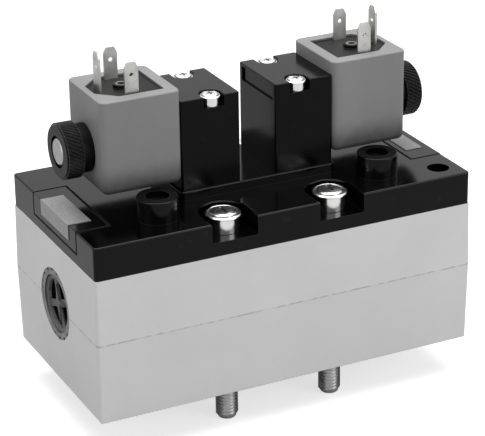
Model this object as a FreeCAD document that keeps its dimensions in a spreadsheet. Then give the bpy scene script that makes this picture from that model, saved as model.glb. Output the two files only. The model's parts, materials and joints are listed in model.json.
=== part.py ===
import FreeCAD, Part
import math
import os
import re

import Sketcher
from FreeCAD import Placement, Rotation, Vector

# Double solenoid, pilot operated directional control valve for a sub-base.
# X runs along the spool, -Y is the long front face, +Z is up. The origin is the centre of the
# body's base face. The mounting screws reach below that face, as on the real valve.

SIZES = {
    # How far a cutting profile runs past the surface that it opens
    "overrun": 1.0,
    # Valve body: one casting with draft on both sides of its parting line, at the spool axis
    "body_length": 144.0,
    "body_width": 75.4,
    "body_height": 53.1,
    "axis_height": 29.6,
    "body_draft": 1.2,
    "body_corner": 1.35,
    "body_edge": 0.45,
    # Spool bore, its ring chambers and the end counterbores
    "bore_radius": 12.0,
    "chamber_radius": 15.4,
    "chamber_width": 11.1,
    "port_pitch": 17.1,
    "cap_bore_radius": 13.1,
    "cap_thickness": 6.0,
    "ring_setback": 0.4,
    "ring_thickness": 0.7,
    # Ports of the base face
    "port_width": 10.3,
    "port_depth_y": 15.4,
    "port_corner": 2.55,
    "port_offset": 9.4,
    "port_overlap": 6.9,
    "pilot_port_radius": 2.15,
    "pilot_port_x": 53.1,
    "pilot_port_y": 16.3,
    "pilot_port_depth": 10.3,
    "passage_radius": 1.7,
    "passage_overlap": 2.55,
    "end_passage_x": 60.4,
    # Captive mounting screws
    "bolt_spacing_x": 41.1,
    "bolt_spacing_y": 56.6,
    "bolt_radius": 4.0,
    "bolt_shank_radius": 3.6,
    "bolt_clearance": 0.4,
    "bolt_reach": 13.7,
    "bolt_tip_chamfer": 0.85,
    "head_collar_radius": 5.4,
    "head_collar_height": 5.5,
    "head_flange_radius": 6.3,
    "head_flange_height": 1.1,
    "head_dome_radius": 4.8,
    "head_dome_height": 0.95,
    "recess_arm_length": 3.1,
    "recess_arm_width": 1.3,
    "recess_depth": 2.9,
    "retainer_radius": 6.2,
    "retainer_thickness": 2.05,
    "retainer_depth": 2.55,
    # Gaskets and their grooves
    "gasket_width": 2.05,
    "gasket_depth": 1.35,
    "gasket_clearance": 0.1,
    "gasket_half_length": 61.0,
    "gasket_half_width": 21.6,
    "gasket_proud": 0.3,
    "cover_gasket_half_length": 65.1,
    "cover_gasket_half_width": 16.8,
    # Moulded pilot cover
    "cover_thickness": 12.0,
    "cover_edge": 0.6,
    "screw_pocket_radius": 8.6,
    "screw_pocket_floor": 5.1,
    "pad_rise": 3.4,
    "pad_margin": 0.75,
    "channel_width": 2.75,
    "channel_depth": 2.55,
    "core_inner_x": 32.6,
    "core_length": 20.6,
    "core_inner_y": 4.3,
    "core_width": 10.3,
    "core_depth": 6.4,
    "vent_x": 64.0,
    "vent_y": 29.1,
    "vent_radius": 4.0,
    "vent_depth": 7.7,
    # Marking label holders, clipped into both ends of the cover, the right one turned half round
    "holder_length": 12.3,
    "holder_far": 21.9,
    "holder_near": 17.6,
    "holder_depth": 8.2,
    "holder_gap": 0.25,
    "holder_wall": 1.55,
    "holder_edge": 0.25,
    "label_thickness": 0.25,
    "folded_label_length": 8.2,
    "folded_label_drop": 5.4,
    "folded_label_front": 15.4,
    "folded_label_back": 9.9,
    "flat_label_x": 62.3,
    "flat_label_length": 6.7,
    "flat_label_front": 9.4,
    "flat_label_back": 15.4,
    # Manual overrides
    "override_x": 42.4,
    "override_y": 22.9,
    "collar_radius": 7.3,
    "collar_rise": 7.9,
    "collar_edge": 0.45,
    "button_radius": 4.1,
    "button_clearance": 0.05,
    "button_recess": 2.25,
    "button_flange_radius": 5.0,
    "button_flange_height": 1.7,
    "button_well_radius": 5.3,
    "button_shoulder": 10.3,
    "button_dimple": 0.5,
    "button_dimple_radius": 2.5,
    "override_wire": 0.6,
    "override_spring_radius": 3.9,
    "override_turns": 4.0,
    # Pilot valves
    "solenoid_height": 85.7,
    "pilot_gap": 13.7,
    "pilot_length": 22.3,
    "pilot_width": 28.3,
    "pilot_top": 15.6,
    "pilot_corner": 0.7,
    "pilot_edge": 0.35,
    "panel_half_width": 12.0,
    "panel_low": 9.3,
    "panel_high": 14.6,
    "panel_depth": 0.7,
    "pilot_screw_x": 16.5,
    "pilot_screw_y": 10.9,
    "pilot_notch_radius": 3.9,
    "pilot_notch_depth": 4.0,
    "pilot_screw_radius": 2.0,
    "pilot_screw_clearance": 0.1,
    "pilot_screw_grip": 10.3,
    "tap_relief": 0.85,
    "pilot_collar_radius": 3.1,
    "pilot_collar_height": 2.85,
    "pilot_flange_radius": 3.6,
    "pilot_flange_height": 0.75,
    "pilot_dome_radius": 2.75,
    "pilot_dome_height": 0.6,
    "pilot_recess_arm_length": 1.8,
    "pilot_recess_arm_width": 0.75,
    "pilot_recess_depth": 1.55,
    "pilot_supply_x": 12.0,
    "pilot_outlet_x": 21.4,
    "pilot_passage_radius": 1.3,
    "pilot_gasket_half_width": 5.1,
    "pilot_gasket_margin": 2.75,
    "pilot_gasket_depth": 0.85,
    # Solenoid inside: cavity, seat, core tube, armature
    "cavity_radius": 6.9,
    "cavity_depth": 10.3,
    "seat_radius": 1.7,
    "seat_height": 1.65,
    "orifice_radius": 0.6,
    "tube_base_length": 4.3,
    "tube_radius": 5.6,
    "tube_wall": 0.75,
    "tube_fit": 0.05,
    "armature_fit": 0.08,
    "armature_length": 23.1,
    "armature_stroke": 1.0,
    "armature_flange_radius": 6.2,
    "armature_flange_height": 1.2,
    "seat_clearance": 0.05,
    "armature_wire": 0.45,
    "armature_turns": 3.0,
    # Coil, its terminals and the nut that holds it
    "coil_length": 29.3,
    "coil_width": 30.4,
    "coil_low": 13.3,
    "coil_high": 20.1,
    "coil_corner": 2.55,
    "coil_low_edge": 2.25,
    "coil_top_edge": 0.45,
    "coil_bore_clearance": 0.15,
    "winding_radius": 11.6,
    "winding_margin": 3.4,
    "winding_wall": 1.05,
    "terminal_inner": 4.1,
    "terminal_outer": 2.25,
    "terminal_half_width": 10.6,
    "terminal_chamfer": 6.4,
    "terminal_depth": 2.55,
    "terminal_setback": 0.6,
    "terminal_fit": 0.1,
    "post_radius": 2.9,
    "post_rise": 0.5,
    "insert_radius": 2.0,
    "insert_length": 7.0,
    "insert_thread_radius": 1.25,
    "insert_thread_depth": 6.0,
    "contact_x": 15.4,
    "contact_spacing": 18.0,
    "earth_x": 24.0,
    "blade_width": 5.0,
    "blade_thickness": 0.8,
    "blade_rise": 10.7,
    "blade_tip_width": 3.0,
    "blade_tip_length": 2.0,
    "blade_hole_radius": 0.75,
    "blade_hole_drop": 4.4,
    "earth_rise": 13.1,
    "earth_hole_drop": 5.1,
    "coil_ring_radius": 8.6,
    "coil_ring_length": 4.1,
    "nut_radius": 9.9,
    "nut_length": 6.3,
    "nut_face_radius": 9.1,
    "nut_bevel": 0.6,
    "nut_relief_radius": 5.7,
    "nut_relief_depth": 1.05,
    "knurl_ridges": 44,
    "knurl_depth": 0.45,
    "knurl_twist": 20.0,
    "knurl_steps": 3,
    "stem_radius": 4.6,
    "stem_clearance": 0.1,
    "stem_bevel": 0.35,
    "tube_stand": 0.5,
    # Spool, pistons, cages and seals in the bore
    "spool_radius": 7.6,
    "spool_neck_radius": 4.8,
    "spool_groove_length": 20.6,
    "spool_end_length": 21.3,
    "spool_stroke": 7.0,
    "stop_clearance": 0.1,
    "spigot_radius": 3.4,
    "piston_length": 6.0,
    "piston_radius": 10.2,
    "piston_groove_width": 2.05,
    "piston_groove_depth": 1.8,
    "seal_clearance": 0.05,
    "cage_clearance": 0.05,
    "cage_inner_radius": 8.2,
    "cage_waist_radius": 9.9,
    "cage_waist_length": 9.4,
    "cage_window_radius": 2.25,
    "cage_windows": 6,
    "spool_seal_width": 2.25,
    # End caps, seals and toothed rings
    "skirt_wall": 1.7,
    "stop_boss_radius": 3.4,
    "cap_rim_radius": 8.9,
    "cap_cross_width": 2.55,
    "cap_cross_depth": 3.6,
    "cap_seal_width": 1.9,
    "cap_seal_depth": 1.45,
    "cap_seal_setback": 1.35,
    "ring_inner_radius": 10.6,
    "ring_teeth": 18,
    "ring_tooth_depth": 1.05,
    "ring_slot_width": 1.35,
}

# Values that follow from the sizes above
DERIVED = {
    "half_length": "body_length / 2",
    "half_width": "body_width / 2",
    "flare": "axis_height * tan(body_draft)",
    "waist_half_length": "half_length + flare",
    "waist_half_width": "half_width + flare",
    "cap_face": "waist_half_length - ring_setback - ring_thickness",
    "cap_inner": "cap_face - cap_thickness",
    "bolt_x": "bolt_spacing_x / 2",
    "bolt_y": "bolt_spacing_y / 2",
    "bolt_hole_radius": "bolt_radius + bolt_clearance",
    "cover_top": "body_height + cover_thickness",
    "screw_seat": "body_height + screw_pocket_floor",
    "pad_top": "cover_top + pad_rise",
    "collar_top": "cover_top + collar_rise",
    "button_shoulder_height": "body_height + button_shoulder",
    "pilot_inner": "pilot_gap / 2",
    "pilot_outer": "pilot_inner + pilot_length",
    "pilot_low": "pad_top - solenoid_height",
    "pilot_half_width": "pilot_width / 2",
    "pad_half_length": "pilot_outer + pad_margin",
    "pad_half_width": "pilot_half_width + pad_margin",
    "pilot_screw_seat": "pilot_top - pilot_notch_depth",
    "cavity_floor": "pilot_outer - cavity_depth",
    "seat_face": "cavity_floor + seat_height",
    "tube_base": "pilot_outer - tube_base_length",
    "tube_inner_radius": "tube_radius - tube_wall",
    "armature_radius": "tube_inner_radius - armature_fit",
    "armature_face": "seat_face + seat_clearance",
    "armature_end": "armature_face + armature_length",
    "core_face": "armature_end + armature_stroke + seat_clearance",
    "coil_outer": "pilot_outer + coil_length",
    "coil_half_width": "coil_width / 2",
    "coil_bore_radius": "tube_radius + coil_bore_clearance",
    "terminal_low_x": "pilot_outer + terminal_inner",
    "terminal_high_x": "coil_outer - terminal_outer",
    "terminal_floor": "coil_high - terminal_depth",
    "terminal_face": "coil_high - terminal_setback",
    "blade_tip": "coil_high + blade_rise",
    "earth_tip": "coil_high + earth_rise",
    "post_top": "coil_high + post_rise",
    "insert_foot": "post_top - insert_length",
    "nut_base": "coil_outer + coil_ring_length",
    "nut_face": "nut_base + nut_length",
    "tube_end": "coil_outer + tube_stand",
    "spool_shift": "-spool_stroke / 2",
    "spool_shoulder": "port_pitch + spool_groove_length / 2 + spool_end_length",
    "piston_face": "spool_shoulder + piston_length",
    "stop_face": "piston_face + spool_stroke / 2 + stop_clearance",
    "last_seal": "2.5 * port_pitch + spool_seal_width / 2",
    "cage_radius": "bore_radius - cage_clearance",
    "skirt_radius": "bore_radius - cage_clearance - skirt_wall",
    "spool_seal_radius": "spool_radius + seal_clearance",
    "cap_radius": "cap_bore_radius - cage_clearance",
    "cap_seal_low": "cap_inner + cap_seal_setback",
    "cap_seal_high": "cap_seal_low + cap_seal_width",
    "piston_groove_low": "spool_shoulder + (piston_length - piston_groove_width) / 2",
    "piston_groove_high": "piston_groove_low + piston_groove_width",
}

doc = FreeCAD.newDocument("directional_control_valve")
sheet = doc.addObject("Spreadsheet::Sheet", "Sizes")


def fill_sheet():
    rows = dict(SIZES)
    rows.update({name: "=" + formula for name, formula in DERIVED.items()})
    for row, (name, content) in enumerate(rows.items(), start=1):
        sheet.set(f"A{row}", name)
        sheet.set(f"B{row}", str(content))
        sheet.setAlias(f"B{row}", name)
    doc.recompute()


def size(text):
    """Number that an expression of sheet names has now."""
    return float(sheet.evalExpression(str(text)))


def bind(item, name, text):
    """Tie a property to an expression of sheet names."""
    def cell(found):
        word = found.group()
        return "Sizes." + word if word in SIZES or word in DERIVED else word

    item.setExpression(name, re.sub(r"[a-z][a-z_]*", cell, str(text)))


def new_body(label):
    body = doc.addObject("PartDesign::Body", label)
    body.Label = label
    body.AllowCompound = True
    return body


def new_sketch(body, plane, offset=None):
    """Sketch on one of the body's own origin planes, moved along the plane's normal."""
    sketch = body.newObject("Sketcher::SketchObject", body.Name + "_sketch")
    origin_plane = next(item for item in body.Origin.OriginFeatures if item.Role == plane)
    sketch.AttachmentSupport = (origin_plane, [""])
    sketch.MapMode = "FlatFace"
    if offset:
        bind(sketch, "AttachmentOffset.Base.z", offset)
    return sketch


def fix(sketch, kind, target, text):
    """Constraint whose value is an expression of sheet names."""
    number = sketch.addConstraint(Sketcher.Constraint(kind, *target, size(text)))
    bind(sketch, f"Constraints[{number}]", text)


def arc_between(start, end, radius, side):
    half = (end - start) * 0.5
    across = Vector(-half.y, half.x, 0).normalize()
    rise = math.sqrt(max(radius * radius - half.Length ** 2, 0.0))
    centre = start + half + across * rise * side
    angles = [math.atan2(point.y - centre.y, point.x - centre.x) for point in (start, end)]
    if side < 0:
        angles.reverse()
    return Part.ArcOfCircle(Part.Circle(centre, Vector(0, 0, 1), radius), *angles)


def outline(sketch, corners):
    """Closed outline through corners (x, y). A corner (x, y, radius, side) starts an arc whose
    centre lies to the left (1) or the right (-1) of its chord."""
    first = sketch.GeometryCount
    places = [Vector(size(corner[0]), size(corner[1]), 0) for corner in corners]
    ends = []
    for index, corner in enumerate(corners):
        start, end = places[index], places[(index + 1) % len(corners)]
        if len(corner) == 2:
            sketch.addGeometry(Part.LineSegment(start, end), False)
            ends.append((1, 2))
        else:
            sketch.addGeometry(arc_between(start, end, size(corner[2]), corner[3]), False)
            ends.append((1, 2) if corner[3] > 0 else (2, 1))
    for index, corner in enumerate(corners):
        edge = first + index
        following = (index + 1) % len(corners)
        sketch.addConstraint(
            Sketcher.Constraint("Coincident", edge, ends[index][1], first + following, ends[following][0])
        )
        fix(sketch, "DistanceX", (-1, 1, edge, ends[index][0]), corner[0])
        fix(sketch, "DistanceY", (-1, 1, edge, ends[index][0]), corner[1])
        if len(corner) > 2:
            fix(sketch, "Radius", (edge,), corner[2])


def rectangle(sketch, low_x, high_x, low_y, high_y):
    outline(sketch, [(low_x, low_y), (high_x, low_y), (high_x, high_y), (low_x, high_y)])


def rounded_rectangle(sketch, low_x, high_x, low_y, high_y, radius):
    outline(sketch, [
        (f"{low_x} + {radius}", low_y),
        (f"{high_x} - {radius}", low_y, radius, 1),
        (high_x, f"{low_y} + {radius}"),
        (high_x, f"{high_y} - {radius}", radius, 1),
        (f"{high_x} - {radius}", high_y),
        (f"{low_x} + {radius}", high_y, radius, 1),
        (low_x, f"{high_y} - {radius}"),
        (low_x, f"{low_y} + {radius}", radius, 1),
    ])


def u_pocket(sketch, centre_x, centre_y, radius, side, edge):
    """Pocket outline, round at its centre and open across the edge on that side."""
    half = radius if side > 0 else f"-{radius}"
    outline(sketch, [
        (f"{centre_x} - {half}", f"{side} * ({edge})"), (f"{centre_x} - {half}", centre_y, radius, 1),
        (centre_x, f"{centre_y} - {half}", radius, 1), (f"{centre_x} + {half}", centre_y),
        (f"{centre_x} + {half}", f"{side} * ({edge})"),
    ])


def circle(sketch, centre_x, centre_y, radius):
    place = Vector(size(centre_x), size(centre_y), 0)
    edge = sketch.addGeometry(Part.Circle(place, Vector(0, 0, 1), size(radius)), False)
    fix(sketch, "DistanceX", (-1, 1, edge, 3), centre_x)
    fix(sketch, "DistanceY", (-1, 1, edge, 3), centre_y)
    fix(sketch, "Radius", (edge,), radius)


def pad(body, sketch, length, down=False, draft=None):
    feature = body.newObject("PartDesign::Pad", body.Name + "_pad")
    feature.Profile = sketch
    feature.Reversed = down
    bind(feature, "Length", length)
    if draft:
        bind(feature, "TaperAngle", draft)
    body.Tip = feature
    return feature


def pocket(body, sketch, depth=None, backwards=False):
    """Cut against the sketch's normal, or along it when backwards; without a depth, through all."""
    feature = body.newObject("PartDesign::Pocket", body.Name + "_pocket")
    feature.Profile = sketch
    feature.Reversed = backwards
    if depth is None:
        feature.Type = "ThroughAll"
        feature.Midplane = False
    else:
        bind(feature, "Length", depth)
    body.Tip = feature
    return feature


def revolve(body, sketch, axis="H_Axis", cut=False):
    kind = "Groove" if cut else "Revolution"
    feature = body.newObject("PartDesign::" + kind, body.Name + "_turned")
    feature.Profile = sketch
    feature.ReferenceAxis = (sketch, [axis])
    body.Tip = feature
    return feature


def turned(label, profile, axis="H_Axis"):
    """Body turned from a half profile in the XZ plane, about X (H_Axis) or Z (V_Axis)."""
    body = new_body(label)
    sketch = new_sketch(body, "XZ_Plane")
    outline(sketch, profile)
    revolve(body, sketch, axis)
    return body


def repeat_round(body, feature, sketch, axis, count):
    pattern = body.newObject("PartDesign::PolarPattern", body.Name + "_polar")
    pattern.Originals = [feature]
    pattern.Axis = (sketch, [axis])
    bind(pattern, "Occurrences", count)
    body.Tip = pattern


def edges_where(shape, test):
    return [f"Edge{number}" for number, edge in enumerate(shape.Edges, start=1) if test(edge.BoundBox)]


def fillet(body, radius, test):
    """Round the edges whose bounding box passes the test."""
    doc.recompute()
    base = body.Tip
    feature = body.newObject("PartDesign::Fillet", body.Name + "_fillet")
    feature.Base = (base, edges_where(base.Shape, test))
    bind(feature, "Radius", radius)
    body.Tip = feature


def level(box, height):
    """True for an edge that lies in the level plane at this height."""
    return abs(box.ZMin - height) < 1e-4 and abs(box.ZMax - height) < 1e-4


def place(body, position, turned_over=False):
    """Put a body that is modelled about its own origin where it belongs."""
    rotation = Rotation(Vector(0, 0, 1), 180.0 if turned_over else 0.0)
    body.Placement = Placement(Vector(*(size(text) for text in position)), rotation)
    for axis, text in zip("xyz", position):
        bind(body, f"Placement.Base.{axis}", text)


def on_solenoid_axis(body, side):
    place(body, ("0", "0", "solenoid_height"), turned_over=side < 0)


def four_bolts():
    return [(f"{x_side} * bolt_x", f"{y_side} * bolt_y") for y_side in (-1, 1) for x_side in (-1, 1)]


def gasket_frame(sketch, half_length, half_width, gap):
    """Outer edge and inner edge of a sealing strip."""
    inner_x = f"{half_length} - gasket_width - {gap}"
    inner_y = f"{half_width} - gasket_width - {gap}"
    rectangle(sketch, f"-({half_length} + {gap})", f"{half_length} + {gap}",
              f"-({half_width} + {gap})", f"{half_width} + {gap}")
    rectangle(sketch, f"-({inner_x})", inner_x, f"-({inner_y})", inner_y)


def gasket_ladder(sketch, half_length, half_width, gap):
    """Sealing strip round all the ports, with a rung between each two."""
    inner_x = f"{half_length} - gasket_width - {gap}"
    inner_y = f"{half_width} - gasket_width - {gap}"
    half_rung = f"(gasket_width / 2 + {gap})"
    rectangle(sketch, f"-({half_length} + {gap})", f"{half_length} + {gap}",
              f"-({half_width} + {gap})", f"{half_width} + {gap}")
    low = f"-({inner_x})"
    for rung in (-2.5, -1.5, -0.5, 0.5, 1.5, 2.5):
        middle = f"{rung} * port_pitch"
        rectangle(sketch, low, f"{middle} - {half_rung}", f"-({inner_y})", inner_y)
        low = f"{middle} + {half_rung}"
    rectangle(sketch, low, inner_x, f"-({inner_y})", inner_y)


def valve_body():
    body = new_body("valve_body")
    waist = new_sketch(body, "XY_Plane", "axis_height")
    rounded_rectangle(waist, "-waist_half_length", "waist_half_length",
                      "-waist_half_width", "waist_half_width", "body_corner")
    pad(body, waist, "body_height - axis_height", draft="-body_draft")
    pad(body, waist, "axis_height", down=True, draft="-body_draft")
    fillet(body, "body_edge", lambda box: level(box, 0.0))

    # Bore with ring chambers and end counterbores, turned in one cut
    bore = new_sketch(body, "XZ_Plane")
    bind(bore, "AttachmentOffset.Base.y", "axis_height")
    end = "waist_half_length + overrun"
    profile = [(f"-({end})", "0"), (f"-({end})", "cap_bore_radius"), ("-cap_inner", "cap_bore_radius"),
               ("-cap_inner", "bore_radius")]
    for port in (-2, -1, 0, 1, 2):
        low = f"{port} * port_pitch - chamber_width / 2"
        high = f"{port} * port_pitch + chamber_width / 2"
        profile += [(low, "bore_radius"), (low, "chamber_radius")]
        profile += [(high, "chamber_radius"), (high, "bore_radius")]
    profile += [("cap_inner", "bore_radius"), ("cap_inner", "cap_bore_radius"),
                (end, "cap_bore_radius"), (end, "0")]
    outline(bore, profile)
    revolve(body, bore, cut=True)

    # Five main ports rise from the base into their chambers, two rows
    ports = new_sketch(body, "XY_Plane")
    for port in (-2, -1, 0, 1, 2):
        row = -1 if port % 2 == 0 else 1
        x, y = f"{port} * port_pitch", f"{row} * port_offset"
        rounded_rectangle(ports, f"{x} - port_width / 2", f"{x} + port_width / 2",
                          f"{y} - port_depth_y / 2", f"{y} + port_depth_y / 2", "port_corner")
    pocket(body, ports, "axis_height - port_overlap", backwards=True)

    bolts = new_sketch(body, "XY_Plane")
    for x, y in four_bolts():
        circle(bolts, x, y, "bolt_hole_radius")
    pocket(body, bolts, backwards=True)
    pilot_ports = new_sketch(body, "XY_Plane")
    for side in (-1, 1):
        circle(pilot_ports, f"{side} * pilot_port_x", "-pilot_port_y", "pilot_port_radius")
    pocket(body, pilot_ports, "pilot_port_depth", backwards=True)

    seats = new_sketch(body, "XY_Plane")
    for x, y in four_bolts():
        circle(seats, x, y, "retainer_radius")
    pocket(body, seats, "retainer_depth", backwards=True)

    base_groove = new_sketch(body, "XY_Plane")
    gasket_ladder(base_groove, "gasket_half_length", "gasket_half_width", "gasket_clearance")
    pocket(body, base_groove, "gasket_depth", backwards=True)

    top_groove = new_sketch(body, "XY_Plane", "body_height")
    gasket_frame(top_groove, "cover_gasket_half_length", "cover_gasket_half_width", "gasket_clearance")
    pocket(body, top_groove, "gasket_depth")

    # Pilot air: supply up from the middle chamber, and down to both end chambers
    passages = new_sketch(body, "XY_Plane", "body_height")
    circle(passages, "0", "0", "passage_radius")
    for side in (-1, 1):
        circle(passages, f"{side} * end_passage_x", "0", "passage_radius")
    pocket(body, passages, "body_height - axis_height - bore_radius + passage_overlap")


def base_gasket():
    body = new_body("base_gasket")
    sketch = new_sketch(body, "XY_Plane", "-gasket_proud")
    gasket_ladder(sketch, "gasket_half_length", "gasket_half_width", "0")
    pad(body, sketch, "gasket_depth + gasket_proud")


def cover_gasket():
    body = new_body("cover_gasket")
    sketch = new_sketch(body, "XY_Plane", "body_height - gasket_depth")
    gasket_frame(sketch, "cover_gasket_half_length", "cover_gasket_half_width", "0")
    pad(body, sketch, "gasket_depth")


def pilot_cover():
    body = new_body("pilot_cover")
    block = new_sketch(body, "XY_Plane", "body_height")
    rounded_rectangle(block, "-half_length", "half_length", "-half_width", "half_width", "body_corner")
    pad(body, block, "cover_thickness")

    recess = new_sketch(body, "XY_Plane", "cover_top")
    for x_side in (-1, 1):
        for y_side in (-1, 1):
            u_pocket(recess, f"{x_side} * bolt_x", f"{y_side} * bolt_y", "screw_pocket_radius", y_side,
                     "half_width + overrun")
    pocket(body, recess, "cover_thickness - screw_pocket_floor")
    top = size("cover_top")
    fillet(body, "cover_edge", lambda box: level(box, top))

    # Both ends are cut open for the label holders
    ends = new_sketch(body, "XY_Plane", "cover_top")
    for side in (-1, 1):
        inner, outer = "half_length - holder_length - holder_gap", "half_length + overrun"
        rectangle(ends, f"{side} * ({inner})", f"{side} * ({outer})",
                  f"{side} * -(holder_near + holder_gap)", f"{side} * (holder_far + holder_gap)")
    pocket(body, ends, "holder_depth + holder_gap")

    # Raised pad under the two pilot valves, and a collar round each override button
    pad_sketch = new_sketch(body, "XY_Plane", "cover_top - cover_edge")
    rounded_rectangle(pad_sketch, "-pad_half_length", "pad_half_length",
                      "-pad_half_width", "pad_half_width", "body_corner")
    pad(body, pad_sketch, "pad_rise + cover_edge")
    collars = new_sketch(body, "XY_Plane", "cover_top - cover_edge")
    for side in (-1, 1):
        circle(collars, f"{side} * override_x", "-override_y", "collar_radius")
    pad(body, collars, "collar_rise + cover_edge")
    rims = (size("pad_top"), size("collar_top"))
    fillet(body, "collar_edge", lambda box: level(box, rims[0]) or level(box, rims[1]))

    buttons = new_sketch(body, "XY_Plane", "collar_top")
    for side in (-1, 1):
        circle(buttons, f"{side} * override_x", "-override_y", "button_radius + button_clearance")
    pocket(body, buttons)
    wells = new_sketch(body, "XY_Plane", "body_height")
    for side in (-1, 1):
        circle(wells, f"{side} * override_x", "-override_y", "button_well_radius")
    pocket(body, wells, "button_shoulder", backwards=True)

    bolts = new_sketch(body, "XY_Plane", "screw_seat")
    for x, y in four_bolts():
        circle(bolts, x, y, "bolt_hole_radius")
    pocket(body, bolts)

    vent = new_sketch(body, "XY_Plane", "cover_top")
    circle(vent, "vent_x", "-vent_y", "vent_radius")
    pocket(body, vent, "vent_depth")

    # Threaded holes of the pilot screws, and the pilot passages
    tapped = new_sketch(body, "XY_Plane", "pad_top")
    for side in (-1, 1):
        for y_side in (-1, 1):
            circle(tapped, f"{side} * pilot_screw_x", f"{y_side} * pilot_screw_y", "pilot_screw_radius")
    pocket(body, tapped, "pilot_screw_grip + tap_relief")
    passages = new_sketch(body, "XY_Plane", "pad_top")
    for side in (-1, 1):
        circle(passages, f"{side} * pilot_supply_x", "0", "pilot_passage_radius")
        circle(passages, f"{side} * pilot_outlet_x", "0", "pilot_passage_radius")
    pocket(body, passages)

    # Underside: an air channel to each end of the bore, and four cored pockets
    channels = new_sketch(body, "XY_Plane", "body_height")
    half = "channel_width / 2"
    rectangle(channels, f"-(pilot_supply_x + {half})", f"pilot_supply_x + {half}", f"-{half}", half)
    for side in (-1, 1):
        rectangle(channels, f"{side} * (pilot_outlet_x - {half})", f"{side} * (end_passage_x + {half})",
                  f"-{half}", half)
    pocket(body, channels, "channel_depth", backwards=True)
    cores = new_sketch(body, "XY_Plane", "body_height")
    for side in (-1, 1):
        for y_side in (-1, 1):
            rectangle(cores, f"{side} * core_inner_x", f"{side} * (core_inner_x + core_length)",
                      f"{y_side} * core_inner_y", f"{y_side} * (core_inner_y + core_width)")
    pocket(body, cores, "core_depth", backwards=True)


def label_holder(side, word):
    body = new_body(f"label_holder_{word}")
    block = new_sketch(body, "XY_Plane", "cover_top - holder_depth")
    rectangle(block, "half_length - holder_length", "half_length", "-holder_near", "holder_far")
    pad(body, block, "holder_depth")
    top = size("cover_top")
    fillet(body, "holder_edge", lambda box: level(box, top))
    hollow = new_sketch(body, "XY_Plane", "cover_top - holder_depth")
    rectangle(hollow, "half_length - holder_length + holder_wall", "half_length - holder_wall",
              "-(holder_near - holder_wall)", "holder_far - holder_wall")
    pocket(body, hollow, "holder_depth - holder_wall", backwards=True)
    place(body, ("0", "0", "0"), turned_over=side < 0)


def folded_label():
    """Blank card folded over the end of the left holder."""
    body = new_body("label_left")
    sketch = new_sketch(body, "XZ_Plane", "-folded_label_back")
    outline(sketch, [
        ("-half_length + folded_label_length", "cover_top"), ("-half_length", "cover_top"),
        ("-half_length", "cover_top - folded_label_drop"),
        ("-half_length - label_thickness", "cover_top - folded_label_drop"),
        ("-half_length - label_thickness", "cover_top + label_thickness"),
        ("-half_length + folded_label_length", "cover_top + label_thickness"),
    ])
    pad(body, sketch, "folded_label_back + folded_label_front")


def flat_label():
    """Blank card that lies flat on the right holder, clear of its end."""
    body = new_body("label_right")
    sketch = new_sketch(body, "XY_Plane", "cover_top")
    rectangle(sketch, "flat_label_x", "flat_label_x + flat_label_length",
              "-flat_label_front", "flat_label_back")
    pad(body, sketch, "label_thickness")


def cross_recess(body, height, centres_y, arm, width, depth):
    """Crossed driver recess on X = 0 at each centre, cut down from this height."""
    sketch = new_sketch(body, "XY_Plane", height)
    half = f"{width} / 2"
    for y in centres_y:
        outline(sketch, [
            (f"-{arm}", f"{y} - {half}"), (f"-{half}", f"{y} - {half}"), (f"-{half}", f"{y} - {arm}"),
            (half, f"{y} - {arm}"), (half, f"{y} - {half}"), (arm, f"{y} - {half}"),
            (arm, f"{y} + {half}"), (half, f"{y} + {half}"), (half, f"{y} + {arm}"),
            (f"-{half}", f"{y} + {arm}"), (f"-{half}", f"{y} + {half}"), (f"-{arm}", f"{y} + {half}"),
        ])
    pocket(body, sketch, depth)


def head_profile(collar, collar_height, flange, flange_height, dome, dome_height):
    """Upper part of a screw's half profile, standing on the level Z = 0: collar, flange, domed top."""
    flange_top = f"{collar_height} + {flange_height}"
    return [
        (collar, "0"), (collar, collar_height), (flange, collar_height), (flange, flange_top),
        (dome, flange_top), (f"{dome} / 2", f"{flange_top} + {dome_height}"),
        ("0", f"{flange_top} + {dome_height}"),
    ]


def mounting_screw(word, x, y):
    """Screw whose thread starts at the base face; the shank above it is reduced."""
    tip = "-screw_seat - bolt_reach"
    body = turned(
        f"mounting_screw_{word}",
        [("0", tip), ("bolt_radius - bolt_tip_chamfer", tip), ("bolt_radius", f"{tip} + bolt_tip_chamfer"),
         ("bolt_radius", "-screw_seat"), ("bolt_shank_radius", "-screw_seat"), ("bolt_shank_radius", "0")]
        + head_profile("head_collar_radius", "head_collar_height", "head_flange_radius",
                       "head_flange_height", "head_dome_radius", "head_dome_height"),
        "V_Axis",
    )
    cross_recess(body, "head_collar_height + head_flange_height + head_dome_height", ["0"],
                 "recess_arm_length", "recess_arm_width", "recess_depth")
    place(body, (x, y, "screw_seat"))


def screw_retainers():
    body = new_body("screw_retainers")
    sketch = new_sketch(body, "XY_Plane", "retainer_depth - retainer_thickness")
    for x, y in four_bolts():
        circle(sketch, x, y, "retainer_radius")
        circle(sketch, x, y, "bolt_radius + seal_clearance")
    pad(body, sketch, "retainer_thickness")


def spool():
    groove = "spool_groove_length / 2"
    body = turned("spool", [
        ("-piston_face", "0"), ("-piston_face", "spigot_radius"),
        ("-spool_shoulder", "spigot_radius"), ("-spool_shoulder", "spool_radius"),
        (f"-port_pitch - {groove}", "spool_radius"), (f"-port_pitch - {groove}", "spool_neck_radius"),
        (f"-port_pitch + {groove}", "spool_neck_radius"), (f"-port_pitch + {groove}", "spool_radius"),
        (f"port_pitch - {groove}", "spool_radius"), (f"port_pitch - {groove}", "spool_neck_radius"),
        (f"port_pitch + {groove}", "spool_neck_radius"), (f"port_pitch + {groove}", "spool_radius"),
        ("spool_shoulder", "spool_radius"), ("spool_shoulder", "spigot_radius"),
        ("piston_face", "spigot_radius"), ("piston_face", "0"),
    ])
    place(body, ("spool_shift", "0", "axis_height"))


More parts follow.
